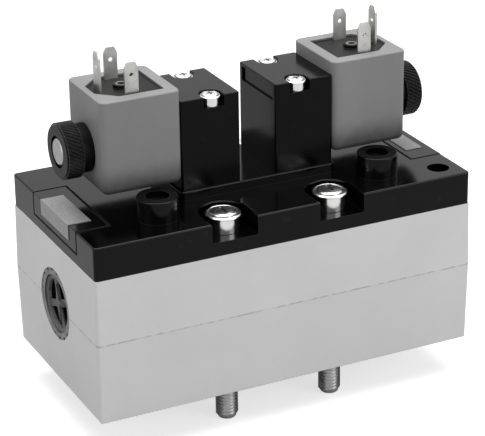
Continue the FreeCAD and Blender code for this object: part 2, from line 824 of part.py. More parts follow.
def piston(side, word):
    waist = "piston_radius - piston_groove_depth"
    body = turned(f"piston_{word}", [
        ("spool_shoulder", "spigot_radius"), ("piston_face", "spigot_radius"),
        ("piston_face", "piston_radius"), ("piston_groove_high", "piston_radius"),
        ("piston_groove_high", waist), ("piston_groove_low", waist),
        ("piston_groove_low", "piston_radius"), ("spool_shoulder", "piston_radius"),
    ])
    place(body, ("spool_shift", "0", "axis_height"), turned_over=side < 0)


def piston_seal(side, word):
    body = new_body(f"piston_seal_{word}")
    sketch = new_sketch(body, "XZ_Plane")
    rectangle(sketch, "piston_groove_low", "piston_groove_high",
              "piston_radius - piston_groove_depth", "skirt_radius - seal_clearance")
    revolve(body, sketch)
    place(body, ("spool_shift", "0", "axis_height"), turned_over=side < 0)


def spool_cages():
    """Five cages with ports all round, one at each chamber."""
    body = new_body("spool_cages")
    sketch = new_sketch(body, "XZ_Plane")
    half, waist = "(port_pitch - spool_seal_width) / 2", "cage_waist_length / 2"
    for port in (-2, -1, 0, 1, 2):
        middle = f"{port} * port_pitch"
        outline(sketch, [
            (f"{middle} - {half}", "cage_inner_radius"), (f"{middle} + {half}", "cage_inner_radius"),
            (f"{middle} + {half}", "cage_radius"), (f"{middle} + {waist}", "cage_radius"),
            (f"{middle} + {waist}", "cage_waist_radius"), (f"{middle} - {waist}", "cage_waist_radius"),
            (f"{middle} - {waist}", "cage_radius"), (f"{middle} - {half}", "cage_radius"),
        ])
    revolve(body, sketch)
    windows = new_sketch(body, "XY_Plane")
    for port in (-2, -1, 0, 1, 2):
        circle(windows, f"{port} * port_pitch", "0", "cage_window_radius")
    cut = pocket(body, windows, backwards=True)
    repeat_round(body, cut, windows, "H_Axis", "cage_windows")
    place(body, ("0", "0", "axis_height"))


def spool_seals():
    body = new_body("spool_seals")
    sketch = new_sketch(body, "XZ_Plane")
    for seal in (-2.5, -1.5, -0.5, 0.5, 1.5, 2.5):
        middle = f"{seal} * port_pitch"
        rectangle(sketch, f"{middle} - spool_seal_width / 2", f"{middle} + spool_seal_width / 2",
                  "spool_seal_radius", "cage_radius")
    revolve(body, sketch)
    place(body, ("0", "0", "axis_height"))


def end_cap(side, word):
    """Cap with a crossed hollow in its face; its skirt holds the cages and guides the piston."""
    waist = "cap_bore_radius - cap_seal_depth"
    body = turned(f"end_cap_{word}", [
        ("stop_face", "0"), ("cap_face", "0"), ("cap_face", "cap_radius"), ("cap_seal_high", "cap_radius"),
        ("cap_seal_high", waist), ("cap_seal_low", waist), ("cap_seal_low", "cap_radius"),
        ("cap_inner", "cap_radius"), ("cap_inner", "cage_radius"), ("last_seal", "cage_radius"),
        ("last_seal", "skirt_radius"), ("cap_inner", "skirt_radius"), ("cap_inner", "stop_boss_radius"),
        ("stop_face", "stop_boss_radius"),
    ])
    # Four quadrants between the arms of a cross
    quadrant = new_sketch(body, "YZ_Plane", "cap_face")
    half = "cap_cross_width / 2"
    reach = f"sqrt(cap_rim_radius ^ 2 - ({half}) ^ 2)"
    outline(quadrant, [(half, half), (reach, half, "cap_rim_radius", 1), (half, reach)])
    cut = pocket(body, quadrant, "cap_cross_depth")
    repeat_round(body, cut, quadrant, "N_Axis", "4")
    port = new_sketch(body, "XY_Plane")
    circle(port, "end_passage_x", "0", "passage_radius")
    pocket(body, port, "bore_radius + overrun", backwards=True)
    place(body, ("0", "0", "axis_height"), turned_over=side < 0)


def end_cap_seal(side, word):
    body = new_body(f"end_cap_seal_{word}")
    sketch = new_sketch(body, "XZ_Plane")
    rectangle(sketch, "cap_seal_low", "cap_seal_high", "cap_bore_radius - cap_seal_depth", "cap_bore_radius")
    revolve(body, sketch)
    place(body, ("0", "0", "axis_height"), turned_over=side < 0)


def end_cap_ring(side, word):
    """Flat spring ring whose teeth bite into the wall of the counterbore."""
    body = new_body(f"end_cap_ring_{word}")
    sketch = new_sketch(body, "YZ_Plane", "cap_face")
    circle(sketch, "0", "0", "cap_bore_radius")
    circle(sketch, "0", "0", "ring_inner_radius")
    pad(body, sketch, "ring_thickness")
    slot = new_sketch(body, "YZ_Plane", "cap_face + ring_thickness")
    rectangle(slot, "cap_bore_radius - ring_tooth_depth", "cap_bore_radius + overrun",
              "-ring_slot_width / 2", "ring_slot_width / 2")
    cut = pocket(body, slot)
    repeat_round(body, cut, slot, "N_Axis", "ring_teeth")
    place(body, ("0", "0", "axis_height"), turned_over=side < 0)


def override_button(side, word):
    top = "collar_top - button_recess - button_shoulder_height"
    body = turned(f"override_button_{word}", [
        ("0", "-seal_clearance - button_flange_height"),
        ("button_flange_radius", "-seal_clearance - button_flange_height"),
        ("button_flange_radius", "-seal_clearance"), ("button_radius", "-seal_clearance"),
        ("button_radius", top), ("button_dimple_radius", top), ("0", f"{top} - button_dimple"),
    ], "V_Axis")
    place(body, (f"{side} * override_x", "-override_y", "button_shoulder_height"))


def spring_shape(radius, wire, low, high, turns):
    """Helical compression spring about Z with a square wire."""
    steps = 12
    count = max(int(turns * steps), steps)
    half = wire / 2
    climb = high - low - wire
    sections = []
    for step in range(count + 1):
        angle = 2 * math.pi * step / steps
        middle = low + half + climb * step / count
        out = Vector(math.cos(angle), math.sin(angle), 0)
        corners = [out * (radius + across) + Vector(0, 0, middle + up)
                   for across, up in ((-half, -half), (half, -half), (half, half), (-half, half))]
        sections.append(Part.makePolygon(corners + corners[:1]))
    return Part.makeLoft(sections, True, True)


def override_spring(side, word):
    feature = doc.addObject("Part::Feature", f"override_spring_{word}")
    feature.Label = f"override_spring_{word}"
    low = size("body_height") + size("seal_clearance")
    high = size("button_shoulder_height - 2 * seal_clearance - button_flange_height")
    feature.Shape = spring_shape(size("override_spring_radius"), size("override_wire"), low, high,
                                 size("override_turns"))
    feature.Placement = Placement(Vector(side * size("override_x"), -size("override_y"), 0), Rotation())


def pilot_block(side, word):
    body = new_body(f"pilot_block_{word}")
    block = new_sketch(body, "XY_Plane", "pilot_low")
    rounded_rectangle(block, "pilot_inner", "pilot_outer",
                      "-pilot_half_width", "pilot_half_width", "pilot_corner")
    pad(body, block, "pilot_top - pilot_low")
    notches = new_sketch(body, "XY_Plane", "pilot_top")
    for y_side in (-1, 1):
        u_pocket(notches, "pilot_screw_x", f"{y_side} * pilot_screw_y", "pilot_notch_radius", y_side,
                 "pilot_half_width + overrun")
    pocket(body, notches, "pilot_notch_depth")
    top = size("pilot_top")
    fillet(body, "pilot_edge", lambda box: level(box, top))

    screws = new_sketch(body, "XY_Plane", "pilot_screw_seat")
    for y_side in (-1, 1):
        circle(screws, "pilot_screw_x", f"{y_side} * pilot_screw_y",
               "pilot_screw_radius + pilot_screw_clearance")
    pocket(body, screws)
    panel = new_sketch(body, "YZ_Plane", "pilot_inner")
    rectangle(panel, "-panel_half_width", "panel_half_width", "panel_low", "panel_high")
    pocket(body, panel, "panel_depth", backwards=True)

    # Round cavity for the solenoid, with the raised seat and its orifice at the bottom
    cavity = new_sketch(body, "XZ_Plane")
    outline(cavity, [
        ("pilot_outer + overrun", "0"), ("pilot_outer + overrun", "cavity_radius"),
        ("cavity_floor", "cavity_radius"), ("cavity_floor", "seat_radius"),
        ("seat_face", "seat_radius"), ("seat_face", "orifice_radius"),
        ("pilot_supply_x", "orifice_radius"), ("pilot_supply_x", "0"),
    ])
    revolve(body, cavity, cut=True)
    supply = new_sketch(body, "XY_Plane", "pilot_low")
    circle(supply, "pilot_supply_x", "0", "pilot_passage_radius")
    pocket(body, supply, "-pilot_low", backwards=True)
    outlet = new_sketch(body, "XY_Plane", "pilot_low")
    circle(outlet, "pilot_outlet_x", "0", "pilot_passage_radius")
    pocket(body, outlet, "-pilot_low - cavity_radius + overrun", backwards=True)
    recess = new_sketch(body, "XY_Plane", "pilot_low")
    gasket_plate(recess, "gasket_clearance")
    pocket(body, recess, "pilot_gasket_depth", backwards=True)
    on_solenoid_axis(body, side)


def gasket_plate(sketch, gap):
    rectangle(sketch, f"pilot_supply_x - pilot_gasket_margin - {gap}",
              f"pilot_outlet_x + pilot_gasket_margin + {gap}",
              f"-(pilot_gasket_half_width + {gap})", f"pilot_gasket_half_width + {gap}")


def pilot_gasket(side, word):
    body = new_body(f"pilot_gasket_{word}")
    sketch = new_sketch(body, "XY_Plane", "pilot_low")
    gasket_plate(sketch, "0")
    for x in ("pilot_supply_x", "pilot_outlet_x"):
        circle(sketch, x, "0", "pilot_passage_radius")
    pad(body, sketch, "pilot_gasket_depth")
    on_solenoid_axis(body, side)


def pilot_screws(side, word):
    """The pair of screws that hold one pilot valve down, with a cross recess each."""
    body = new_body(f"pilot_screws_{word}")
    tip = "pilot_low - pilot_screw_seat - pilot_screw_grip"
    chamfer = "pilot_screw_clearance"
    profile = [
        ("0", tip), (f"pilot_screw_radius - {chamfer}", tip),
        ("pilot_screw_radius", f"{tip} + {chamfer}"), ("pilot_screw_radius", "0"),
    ]
    profile += head_profile("pilot_collar_radius", "pilot_collar_height", "pilot_flange_radius",
                            "pilot_flange_height", "pilot_dome_radius", "pilot_dome_height")
    height = "pilot_collar_height + pilot_flange_height + pilot_dome_height"
    for y_side in (-1, 1):
        sketch = new_sketch(body, "XZ_Plane", f"-({y_side} * pilot_screw_y)")
        outline(sketch, profile)
        revolve(body, sketch, "V_Axis")
    cross_recess(body, height, ["-pilot_screw_y", "pilot_screw_y"],
                 "pilot_recess_arm_length", "pilot_recess_arm_width", "pilot_recess_depth")
    place(body, (f"{side} * pilot_screw_x", "0", "solenoid_height + pilot_screw_seat"))


def core_tube(side, word):
    body = turned(f"core_tube_{word}", [
        ("tube_base", "tube_inner_radius"), ("tube_end", "tube_inner_radius"), ("tube_end", "tube_radius"),
        ("pilot_outer", "tube_radius"), ("pilot_outer", "cavity_radius - tube_fit"),
        ("tube_base", "cavity_radius - tube_fit"),
    ])
    on_solenoid_axis(body, side)


def fixed_core(side, word):
    """Iron core brazed into the tube; its stem carries the coil nut."""
    body = turned(f"fixed_core_{word}", [
        ("core_face", "0"), ("nut_face", "0"), ("nut_face", "stem_radius - stem_bevel"),
        ("nut_face - stem_bevel", "stem_radius"), ("tube_end", "stem_radius"),
        ("tube_end", "tube_inner_radius - tube_fit"), ("core_face", "tube_inner_radius - tube_fit"),
    ])
    on_solenoid_axis(body, side)


def armature(side, word):
    flange = "armature_face + armature_flange_height"
    body = turned(f"armature_{word}", [
        ("armature_face", "0"), ("armature_end", "0"), ("armature_end", "armature_radius"),
        (flange, "armature_radius"), (flange, "armature_flange_radius"),
        ("armature_face", "armature_flange_radius"),
    ])
    on_solenoid_axis(body, side)


def armature_spring(side, word):
    feature = doc.addObject("Part::Feature", f"armature_spring_{word}")
    feature.Label = f"armature_spring_{word}"
    low = size("armature_face + armature_flange_height + seal_clearance")
    high = size("tube_base - seal_clearance")
    radius = size("(armature_radius + armature_flange_radius) / 2")
    feature.Shape = spring_shape(radius, size("armature_wire"), low, high, size("armature_turns"))
    along_x = Rotation(Vector(0, 0, 1), Vector(side, 0, 0))
    feature.Placement = Placement(Vector(0, 0, size("solenoid_height")), along_x)


def terminal_outline(sketch, gap):
    """Rectangle with its two outer corners cut off."""
    low, high = f"terminal_low_x + {gap}", f"terminal_high_x - {gap}"
    half = f"(terminal_half_width - {gap})"
    cut = "terminal_chamfer"
    outline(sketch, [
        (low, f"-{half}"), (f"{high} - {cut}", f"-{half}"), (high, f"-{half} + {cut}"),
        (high, f"{half} - {cut}"), (f"{high} - {cut}", half), (low, half),
    ])


def coil(side, word):
    body = new_body(f"coil_{word}")
    block = new_sketch(body, "XY_Plane", "-coil_low")
    rounded_rectangle(block, "pilot_outer", "coil_outer",
                      "-coil_half_width", "coil_half_width", "coil_corner")
    pad(body, block, "coil_low + coil_high")
    low, high = -size("coil_low"), size("coil_high")
    fillet(body, "coil_low_edge", lambda box: level(box, low))
    fillet(body, "coil_top_edge", lambda box: level(box, high))
    opening = new_sketch(body, "XY_Plane", "coil_high")
    terminal_outline(opening, "0")
    pocket(body, opening, "terminal_depth")
    insert_seat = new_sketch(body, "XY_Plane", "terminal_floor")
    circle(insert_seat, "pilot_outer + contact_x", "0", "insert_radius + seal_clearance")
    pocket(body, insert_seat, "terminal_floor - insert_foot")

    # Bore for the core tube, and the chamber that the winding fills
    bore = new_sketch(body, "XZ_Plane")
    inner, outer = "pilot_outer + winding_margin", "coil_outer - winding_margin"
    outline(bore, [
        ("pilot_outer - overrun", "0"), ("coil_outer + overrun", "0"),
        ("coil_outer + overrun", "coil_bore_radius"), ("pilot_outer - overrun", "coil_bore_radius"),
    ])
    outline(bore, [
        (inner, "coil_bore_radius + winding_wall"), (outer, "coil_bore_radius + winding_wall"),
        (outer, "winding_radius"), (inner, "winding_radius"),
    ])
    revolve(body, bore, cut=True)
    on_solenoid_axis(body, side)


def coil_winding(side, word):
    inner, outer = "pilot_outer + winding_margin", "coil_outer - winding_margin"
    gap = "seal_clearance"
    body = turned(f"coil_winding_{word}", [
        (f"{inner} + {gap}", f"coil_bore_radius + winding_wall + {gap}"),
        (f"{outer} - {gap}", f"coil_bore_radius + winding_wall + {gap}"),
        (f"{outer} - {gap}", f"winding_radius - {gap}"), (f"{inner} + {gap}", f"winding_radius - {gap}"),
    ])
    on_solenoid_axis(body, side)


def blade_slot(sketch, centre_x, centre_y, long_x, gap):
    half_long, half_short = f"(blade_width / 2 + {gap})", f"(blade_thickness / 2 + {gap})"
    half_x, half_y = (half_long, half_short) if long_x else (half_short, half_long)
    rectangle(sketch, f"{centre_x} - {half_x}", f"{centre_x} + {half_x}",
              f"{centre_y} - {half_y}", f"{centre_y} + {half_y}")


def terminal_block(side, word):
    body = new_body(f"terminal_block_{word}")
    plate = new_sketch(body, "XY_Plane", "terminal_floor")
    terminal_outline(plate, "terminal_fit")
    pad(body, plate, "terminal_face - terminal_floor")
    middle = "pilot_outer + contact_x"
    post = new_sketch(body, "XY_Plane", "terminal_face")
    circle(post, middle, "0", "post_radius")
    pad(body, post, "post_top - terminal_face")
    insert_hole = new_sketch(body, "XY_Plane", "post_top")
    circle(insert_hole, middle, "0", "insert_radius + seal_clearance")
    pocket(body, insert_hole)
    slots = new_sketch(body, "XY_Plane", "terminal_face")
    for y_side in (-1, 1):
        blade_slot(slots, middle, f"{y_side} * contact_spacing / 2", True, "seal_clearance")
    blade_slot(slots, "pilot_outer + earth_x", "0", False, "seal_clearance")
    pocket(body, slots)
    on_solenoid_axis(body, side)


def thread_insert(side, word):
    """Threaded bush in the post, for the centre screw of the cable plug."""
    body = turned(f"thread_insert_{word}", [
        ("0", "insert_foot"), ("insert_radius", "insert_foot"), ("insert_radius", "post_top"),
        ("insert_thread_radius", "post_top"), ("insert_thread_radius", "post_top - insert_thread_depth"),
        ("0", "post_top - insert_thread_depth"),
    ], "V_Axis")
    place(body, (f"{side} * (pilot_outer + contact_x)", "0", "solenoid_height"), turned_over=side < 0)


def blade_profile(sketch, middle, tip, hole_drop):
    """Spade contact standing on the floor of the terminal recess, with a narrowed tip and a hole."""
    half, tip_half = "blade_width / 2", "blade_tip_width / 2"
    shoulder = f"{tip} - blade_tip_length"
    outline(sketch, [
        (f"{middle} - {half}", "terminal_floor"), (f"{middle} + {half}", "terminal_floor"),
        (f"{middle} + {half}", shoulder), (f"{middle} + {tip_half}", tip),
        (f"{middle} - {tip_half}", tip), (f"{middle} - {half}", shoulder),
    ])
    circle(sketch, middle, f"{tip} - {hole_drop}", "blade_hole_radius")


def power_blades(side, word):
    body = new_body(f"power_blades_{word}")
    for y_side in (-1, 1):
        sketch = new_sketch(body, "XZ_Plane", f"-({y_side} * contact_spacing / 2) - blade_thickness / 2")
        blade_profile(sketch, "pilot_outer + contact_x", "blade_tip", "blade_hole_drop")
        pad(body, sketch, "blade_thickness")
    on_solenoid_axis(body, side)


def earth_blade(side, word):
    body = new_body(f"earth_blade_{word}")
    sketch = new_sketch(body, "YZ_Plane", "pilot_outer + earth_x - blade_thickness / 2")
    blade_profile(sketch, "0", "earth_tip", "earth_hole_drop")
    pad(body, sketch, "blade_thickness")
    on_solenoid_axis(body, side)


def coil_ring(side, word):
    """Plain black sleeve between the coil and its nut."""
    inner = "stem_radius + stem_clearance"
    tube = "tube_radius + stem_clearance"
    body = turned(f"coil_ring_{word}", [
        ("coil_outer", tube), ("tube_end + stem_clearance", tube), ("tube_end + stem_clearance", inner),
        ("nut_base", inner), ("nut_base", "coil_ring_radius"), ("coil_outer", "coil_ring_radius"),
    ])
    on_solenoid_axis(body, side)


def knurled_drum(radius, depth, ridges, twist, steps, low, high):
    """Drum along X in flat facets, whose ridges run round it at a slant."""
    rings = []
    for step in range(steps + 1):
        turn = math.radians(twist) * step / steps
        place_x = low + (high - low) * step / steps
        ring = []
        for corner in range(2 * ridges):
            angle = math.pi * corner / ridges + turn
            reach = radius if corner % 2 else radius - depth
            ring.append(Vector(place_x, reach * math.cos(angle), reach * math.sin(angle)))
        rings.append(ring)
    outlines = [rings[0], rings[-1]]
    for near, far in zip(rings, rings[1:]):
        for corner in range(2 * ridges):
            after = (corner + 1) % (2 * ridges)
            outlines.append([near[corner], near[after], far[after]])
            outlines.append([near[corner], far[after], far[corner]])
    faces = [Part.Face(Part.makePolygon(points + points[:1])) for points in outlines]
    shell = Part.makeShell(faces)
    shell.sewShape()
    return Part.makeSolid(shell)


def coil_nut(side, word):
    """Knurled nut with a bevelled face and a sunk ring round the stem."""
    feature = doc.addObject("Part::Feature", f"coil_nut_{word}")
    feature.Label = f"coil_nut_{word}"
    base, face, bevel = size("nut_base"), size("nut_face"), size("nut_bevel")
    relief_depth = size("nut_relief_depth")
    along = Vector(1, 0, 0)
    valley = size("nut_radius - knurl_depth")
    drum = knurled_drum(size("nut_radius"), size("knurl_depth"), int(size("knurl_ridges")),
                        size("knurl_twist"), int(size("knurl_steps")), base, face - bevel)
    rim = Part.makeCone(valley, size("nut_face_radius"), bevel, Vector(face - bevel, 0, 0), along)
    bore = Part.makeCylinder(size("stem_radius + stem_clearance"), face - base, Vector(base, 0, 0), along)
    relief = Part.makeCylinder(size("nut_relief_radius"), relief_depth,
                               Vector(face - relief_depth, 0, 0), along)
    feature.Shape = drum.fuse(rim).cut(bore).cut(relief)
    turn = Rotation(Vector(0, 0, 1), 180.0 if side < 0 else 0.0)
    feature.Placement = Placement(Vector(0, 0, size("solenoid_height")), turn)


def check_and_export():
    """Stop on any object in error, then write one file for each labelled piece."""
    doc.recompute()
    faulty = [item.Label for item in doc.Objects if "Invalid" in item.State or "Error" in item.State]
    if faulty:
        raise RuntimeError("not built: " + ", ".join(faulty))
    os.makedirs("parts", exist_ok=True)
    for item in doc.Objects:
        if item.TypeId not in ("PartDesign::Body", "Part::Feature"):
            continue
        if item.Shape.isNull() or not item.Shape.isValid() or not item.Shape.Solids:
            raise RuntimeError("no valid solid: " + item.Label)
        item.Shape.exportStep(f"parts/{item.Label}.step")
        print(f"{item.Label}: {len(item.Shape.Solids)} solid(s), {item.Shape.Volume:.0f} mm3")


fill_sheet()
valve_body()
base_gasket()
cover_gasket()
pilot_cover()
spool()
spool_cages()
spool_seals()
screw_retainers()
folded_label()
flat_label()
for row, y in (("front", "-bolt_y"), ("back", "bolt_y")):
    for column, x in (("left", "-bolt_x"), ("right", "bolt_x")):
        mounting_screw(f"{row}_{column}", x, y)
PIECES_PER_SIDE = (
    end_cap, end_cap_seal, end_cap_ring, piston, piston_seal, label_holder, override_button,
    override_spring, pilot_block, pilot_gasket, pilot_screws, core_tube, fixed_core, armature,
    armature_spring, coil, coil_winding, terminal_block, thread_insert, power_blades, earth_blade,
    coil_ring, coil_nut,
)
for side, word in ((-1, "left"), (1, "right")):
    for piece in PIECES_PER_SIDE:
        piece(side, word)
check_and_export()
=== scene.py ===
import json
import math

import bpy
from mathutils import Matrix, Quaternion, Vector

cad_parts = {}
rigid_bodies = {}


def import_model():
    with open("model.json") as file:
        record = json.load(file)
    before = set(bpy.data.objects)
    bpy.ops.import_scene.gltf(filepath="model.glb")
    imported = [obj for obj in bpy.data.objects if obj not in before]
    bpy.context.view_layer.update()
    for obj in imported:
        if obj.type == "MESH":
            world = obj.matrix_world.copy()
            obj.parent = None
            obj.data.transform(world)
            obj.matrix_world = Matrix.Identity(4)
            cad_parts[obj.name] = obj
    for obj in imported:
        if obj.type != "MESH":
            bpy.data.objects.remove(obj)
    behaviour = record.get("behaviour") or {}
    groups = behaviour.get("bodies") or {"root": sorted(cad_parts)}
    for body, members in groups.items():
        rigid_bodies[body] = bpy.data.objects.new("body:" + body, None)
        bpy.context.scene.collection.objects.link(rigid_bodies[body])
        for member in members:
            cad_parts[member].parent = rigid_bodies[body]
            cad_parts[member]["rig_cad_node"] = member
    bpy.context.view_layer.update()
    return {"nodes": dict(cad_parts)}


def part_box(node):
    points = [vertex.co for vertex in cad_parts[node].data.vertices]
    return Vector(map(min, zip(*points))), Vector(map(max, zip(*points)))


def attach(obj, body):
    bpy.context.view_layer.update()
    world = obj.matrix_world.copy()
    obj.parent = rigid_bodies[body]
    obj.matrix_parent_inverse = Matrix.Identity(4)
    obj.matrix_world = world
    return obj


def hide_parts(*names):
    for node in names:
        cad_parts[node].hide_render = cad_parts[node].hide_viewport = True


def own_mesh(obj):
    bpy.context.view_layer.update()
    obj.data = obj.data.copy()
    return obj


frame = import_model()
nodes = frame["nodes"]
bpy.ops.object.select_all(action="DESELECT")
print("frame loaded,", len(nodes), "solids")


# materials are written as sums of sockets

class Wire:  # an output socket that can be added, subtracted, multiplied and made positive
    def __init__(self, finish, socket):
        self.finish = finish
        self.socket = socket

    def math(self, operation, first, second=0.0):
        return self.finish.node("Math", {"operation": operation}, {0: first, 1: second})

    def __add__(self, other):
        return self.math("ADD", self, other)

    def __radd__(self, other):
        return self.math("ADD", other, self)

    def __sub__(self, other):
        return self.math("SUBTRACT", self, other)

    def __rsub__(self, other):
        return self.math("SUBTRACT", other, self)

    def __mul__(self, other):
        return self.math("MULTIPLY", self, other)

    def __rmul__(self, other):
        return self.math("MULTIPLY", other, self)

    def __abs__(self):
        return self.math("ABSOLUTE", self)


class Finish:  # the node tree of one material, or of the world
    def __init__(self, owner):
        self.owner = owner
        owner.use_nodes = True
        self.tree = owner.node_tree
        self.tree.nodes.clear()

    def node(self, kind, settings=None, values=None, output=0):
        made = self.tree.nodes.new("ShaderNode" + kind)
        for name, value in (settings or {}).items():
            setattr(made, name, value)
        for name, value in (values or {}).items():
            socket = made.inputs[name]
            if isinstance(value, Wire):
                self.tree.links.new(value.socket, socket)
            else:
                socket.default_value = value
        return Wire(self, made.outputs[output])

    def place(self, axis=None):
        coordinates = self.node("TexCoord", output="Object")
        if axis is None:
            return coordinates
        return self.node("SeparateXYZ", values={0: coordinates}, output=axis)

    def facing(self, axis):  # how far the surface faces along an axis, -1 to 1
        normal = self.node("NewGeometry", output="True Normal")
        return self.node("SeparateXYZ", values={0: normal}, output=axis)

    def noise(self, size, detail=3.0, stretch=(1, 1, 1)):  # size of one blotch in metres
        spread = self.node("Mapping", values={0: self.place(), 3: stretch})
        return self.node("TexNoise", values={"Vector": spread, "Scale": 1 / size, "Detail": detail})

    def soft(self, wire, low, high):  # 0 at low, 1 at high, eased between
        settings = {"interpolation_type": "SMOOTHSTEP"}
        return self.node("MapRange", settings, {"Value": wire, "From Min": low, "From Max": high})

    def waves(self, wire):  # -1 to 1, one wave every 2 pi of the wire's value
        return self.node("Math", {"operation": "SINE"}, {0: wire})

    def tint(self, factor, first, second):
        return self.node("Mix", {"data_type": "RGBA"}, {0: factor, 6: first + (1,), 7: second + (1,)}, 2)

    def overlay(self, factor, first, second):  # second is a plain colour, first may be a wire
        return self.node("Mix", {"data_type": "RGBA"}, {0: factor, 6: first, 7: second + (1,)}, 2)

    def worn(self, radius):  # 1 on sharp edges, 0 on flats
        rounded = self.node("Bevel", {"samples": 4}, {"Radius": radius})
        true = self.node("NewGeometry", output="Normal")
        alike = self.node("VectorMath", {"operation": "DOT_PRODUCT"}, {0: rounded, 1: true}, "Value")
        return self.soft(alike, 0.995, 0.90)

    def bump(self, height, depth):
        return self.node("Bump", values={"Height": height, "Distance": depth})

    def close(self, shader, kind="OutputMaterial"):
        end = self.tree.nodes.new("ShaderNode" + kind)
        self.tree.links.new(shader.socket, end.inputs["Surface"])


def newFinish(name):
    return Finish(bpy.data.materials.new(name))


def principled(finish, **values):
    named = {name.replace("_", " "): value for name, value in values.items()}
    finish.close(finish.node("BsdfPrincipled", values=named))
    return finish.owner


castBody = {
    "colour": (0.61, 0.61, 0.615), "clouded": (0.555, 0.555, 0.56), "cloud": 0.03, "cloudShare": 0.7,
    "edge": (0.74, 0.74, 0.745), "edgeRadius": 0.0004, "edgeShare": 0.6,
    "metal": 0.12, "roughness": 0.5, "grain": 0.0005, "grainDepth": 0.00004,
    "partingHeight": 0.0296, "partingWidth": 0.00045, "flash": (0.30, 0.30, 0.305), "flashShare": 0.75,
    "flashRise": 2.5, "dash": 0.0028,
    "milled": (0.70, 0.70, 0.71), "milledMetal": 0.6, "millPitch": 0.0009,
}


def castAluminium():
    cast = castBody
    finish = newFinish("castAluminium")
    height = finish.place("Z")
    fromParting = abs(height - cast["partingHeight"])
    dashes = finish.soft(finish.noise(cast["dash"], 1.0, (1, 1, 0.2)), 0.40, 0.60)
    flash = (1 - finish.soft(fromParting, 0.0, cast["partingWidth"])) * (0.25 + dashes * 0.75)
    cloud = finish.noise(cast["cloud"], 4.0)
    grain = finish.noise(cast["grain"], 2.0)
    shade = finish.soft(cloud + (grain - 0.5) * 0.3, 0.25, 0.8) * cast["cloudShare"]
    worn = finish.worn(cast["edgeRadius"])
    # the base face is milled flat, in straight tool marks
    milled = finish.soft(finish.facing("Z"), -0.98, -0.999) * (1 - finish.soft(height, 0.0001, 0.0003))
    marks = finish.waves(finish.place("X") * (2 * math.pi / cast["millPitch"]) + cloud * 3.0)
    colour = finish.tint(shade, cast["colour"], cast["clouded"])
    colour = finish.overlay(milled * (0.6 + marks * 0.3), colour, cast["milled"])
    colour = finish.overlay(worn * cast["edgeShare"], colour, cast["edge"])
    colour = finish.overlay(flash * cast["flashShare"], colour, cast["flash"])
    return principled(
        finish,
        Base_Color=colour,
        Roughness=cast["roughness"] + (cloud - 0.5) * 0.12 - milled * 0.16,
        Metallic=cast["metal"] + milled * cast["milledMetal"],
        Normal=finish.bump(grain + flash * cast["flashRise"] + milled * marks * 0.4, cast["grainDepth"]),
    )


# what every injection moulding shares: flow marks, handling scuffs and rubbed edges
moulding = {"flow": 0.02, "flowStretch": (1, 1, 0.35), "scuff": 0.004, "scuffStretch": (1, 0.25, 1),
            "scuffShare": 0.08, "scuffRoughness": 0.10, "edgeRadius": 0.00025}


def flowMarks(finish):
    return finish.noise(moulding["flow"], 3.0, moulding["flowStretch"])


def handlingScuffs(finish):
    return finish.soft(finish.noise(moulding["scuff"], 6.0, moulding["scuffStretch"]), 0.62, 0.74)


def flowingColour(finish, flow, plastic):
    return finish.tint(finish.soft(flow, 0.3, 0.75), plastic["colour"], plastic["lighter"])


plastics = {
    "pilotMoulding": {
        "colour": (0.0008, 0.0008, 0.0009), "lighter": (0.002, 0.002, 0.0022), "rubbed": (0.03, 0.03, 0.03),
        "wear": 0.5, "roughness": 0.18, "grain": 0.00025, "depth": 0.000005, "specular": 0.12},
    "buttonMoulding": {
        "colour": (0.001, 0.001, 0.001), "lighter": (0.002, 0.002, 0.002), "rubbed": (0.03, 0.03, 0.03),
        "wear": 0.5, "roughness": 0.4, "grain": 0.0003, "depth": 0.00001, "specular": 0.12},
    # its knurl crests are lighter from wear, and as a painted highlight
    "nutMoulding": {
        "colour": (0.0015, 0.0015, 0.0015), "lighter": (0.003, 0.003, 0.003), "rubbed": (0.10, 0.10, 0.10),
        "wear": 0.9, "roughness": 0.34, "grain": 0.0003, "depth": 0.00001, "specular": 0.10},
    "terminalMoulding": {
        "colour": (0.004, 0.004, 0.004), "lighter": (0.007, 0.007, 0.007), "rubbed": (0.05, 0.05, 0.05),
        "wear": 0.5, "roughness": 0.42, "grain": 0.0005, "depth": 0.00001, "specular": 0.09},
    "cageMoulding": {
        "colour": (0.55, 0.53, 0.48), "lighter": (0.62, 0.60, 0.55), "rubbed": (0.7, 0.68, 0.64),
        "wear": 0.5, "roughness": 0.5, "grain": 0.0004, "depth": 0.00002, "specular": 0.5},
}


def moulded(name):
    plastic = plastics[name]
    finish = newFinish(name)
    skin, flow, scuffs = finish.noise(plastic["grain"], 2.0), flowMarks(finish), handlingScuffs(finish)
    rubbed = finish.worn(moulding["edgeRadius"]) * plastic["wear"] + scuffs * moulding["scuffShare"]
    return principled(
        finish,
        Base_Color=finish.overlay(rubbed, flowingColour(finish, flow, plastic), plastic["rubbed"]),
        Roughness=(plastic["roughness"] + (flow - 0.5) * 0.12 + scuffs * moulding["scuffRoughness"]
                   + (skin - 0.5) * 0.08),
        Normal=finish.bump(skin, plastic["depth"]),
        Specular_IOR_Level=plastic["specular"],
    )


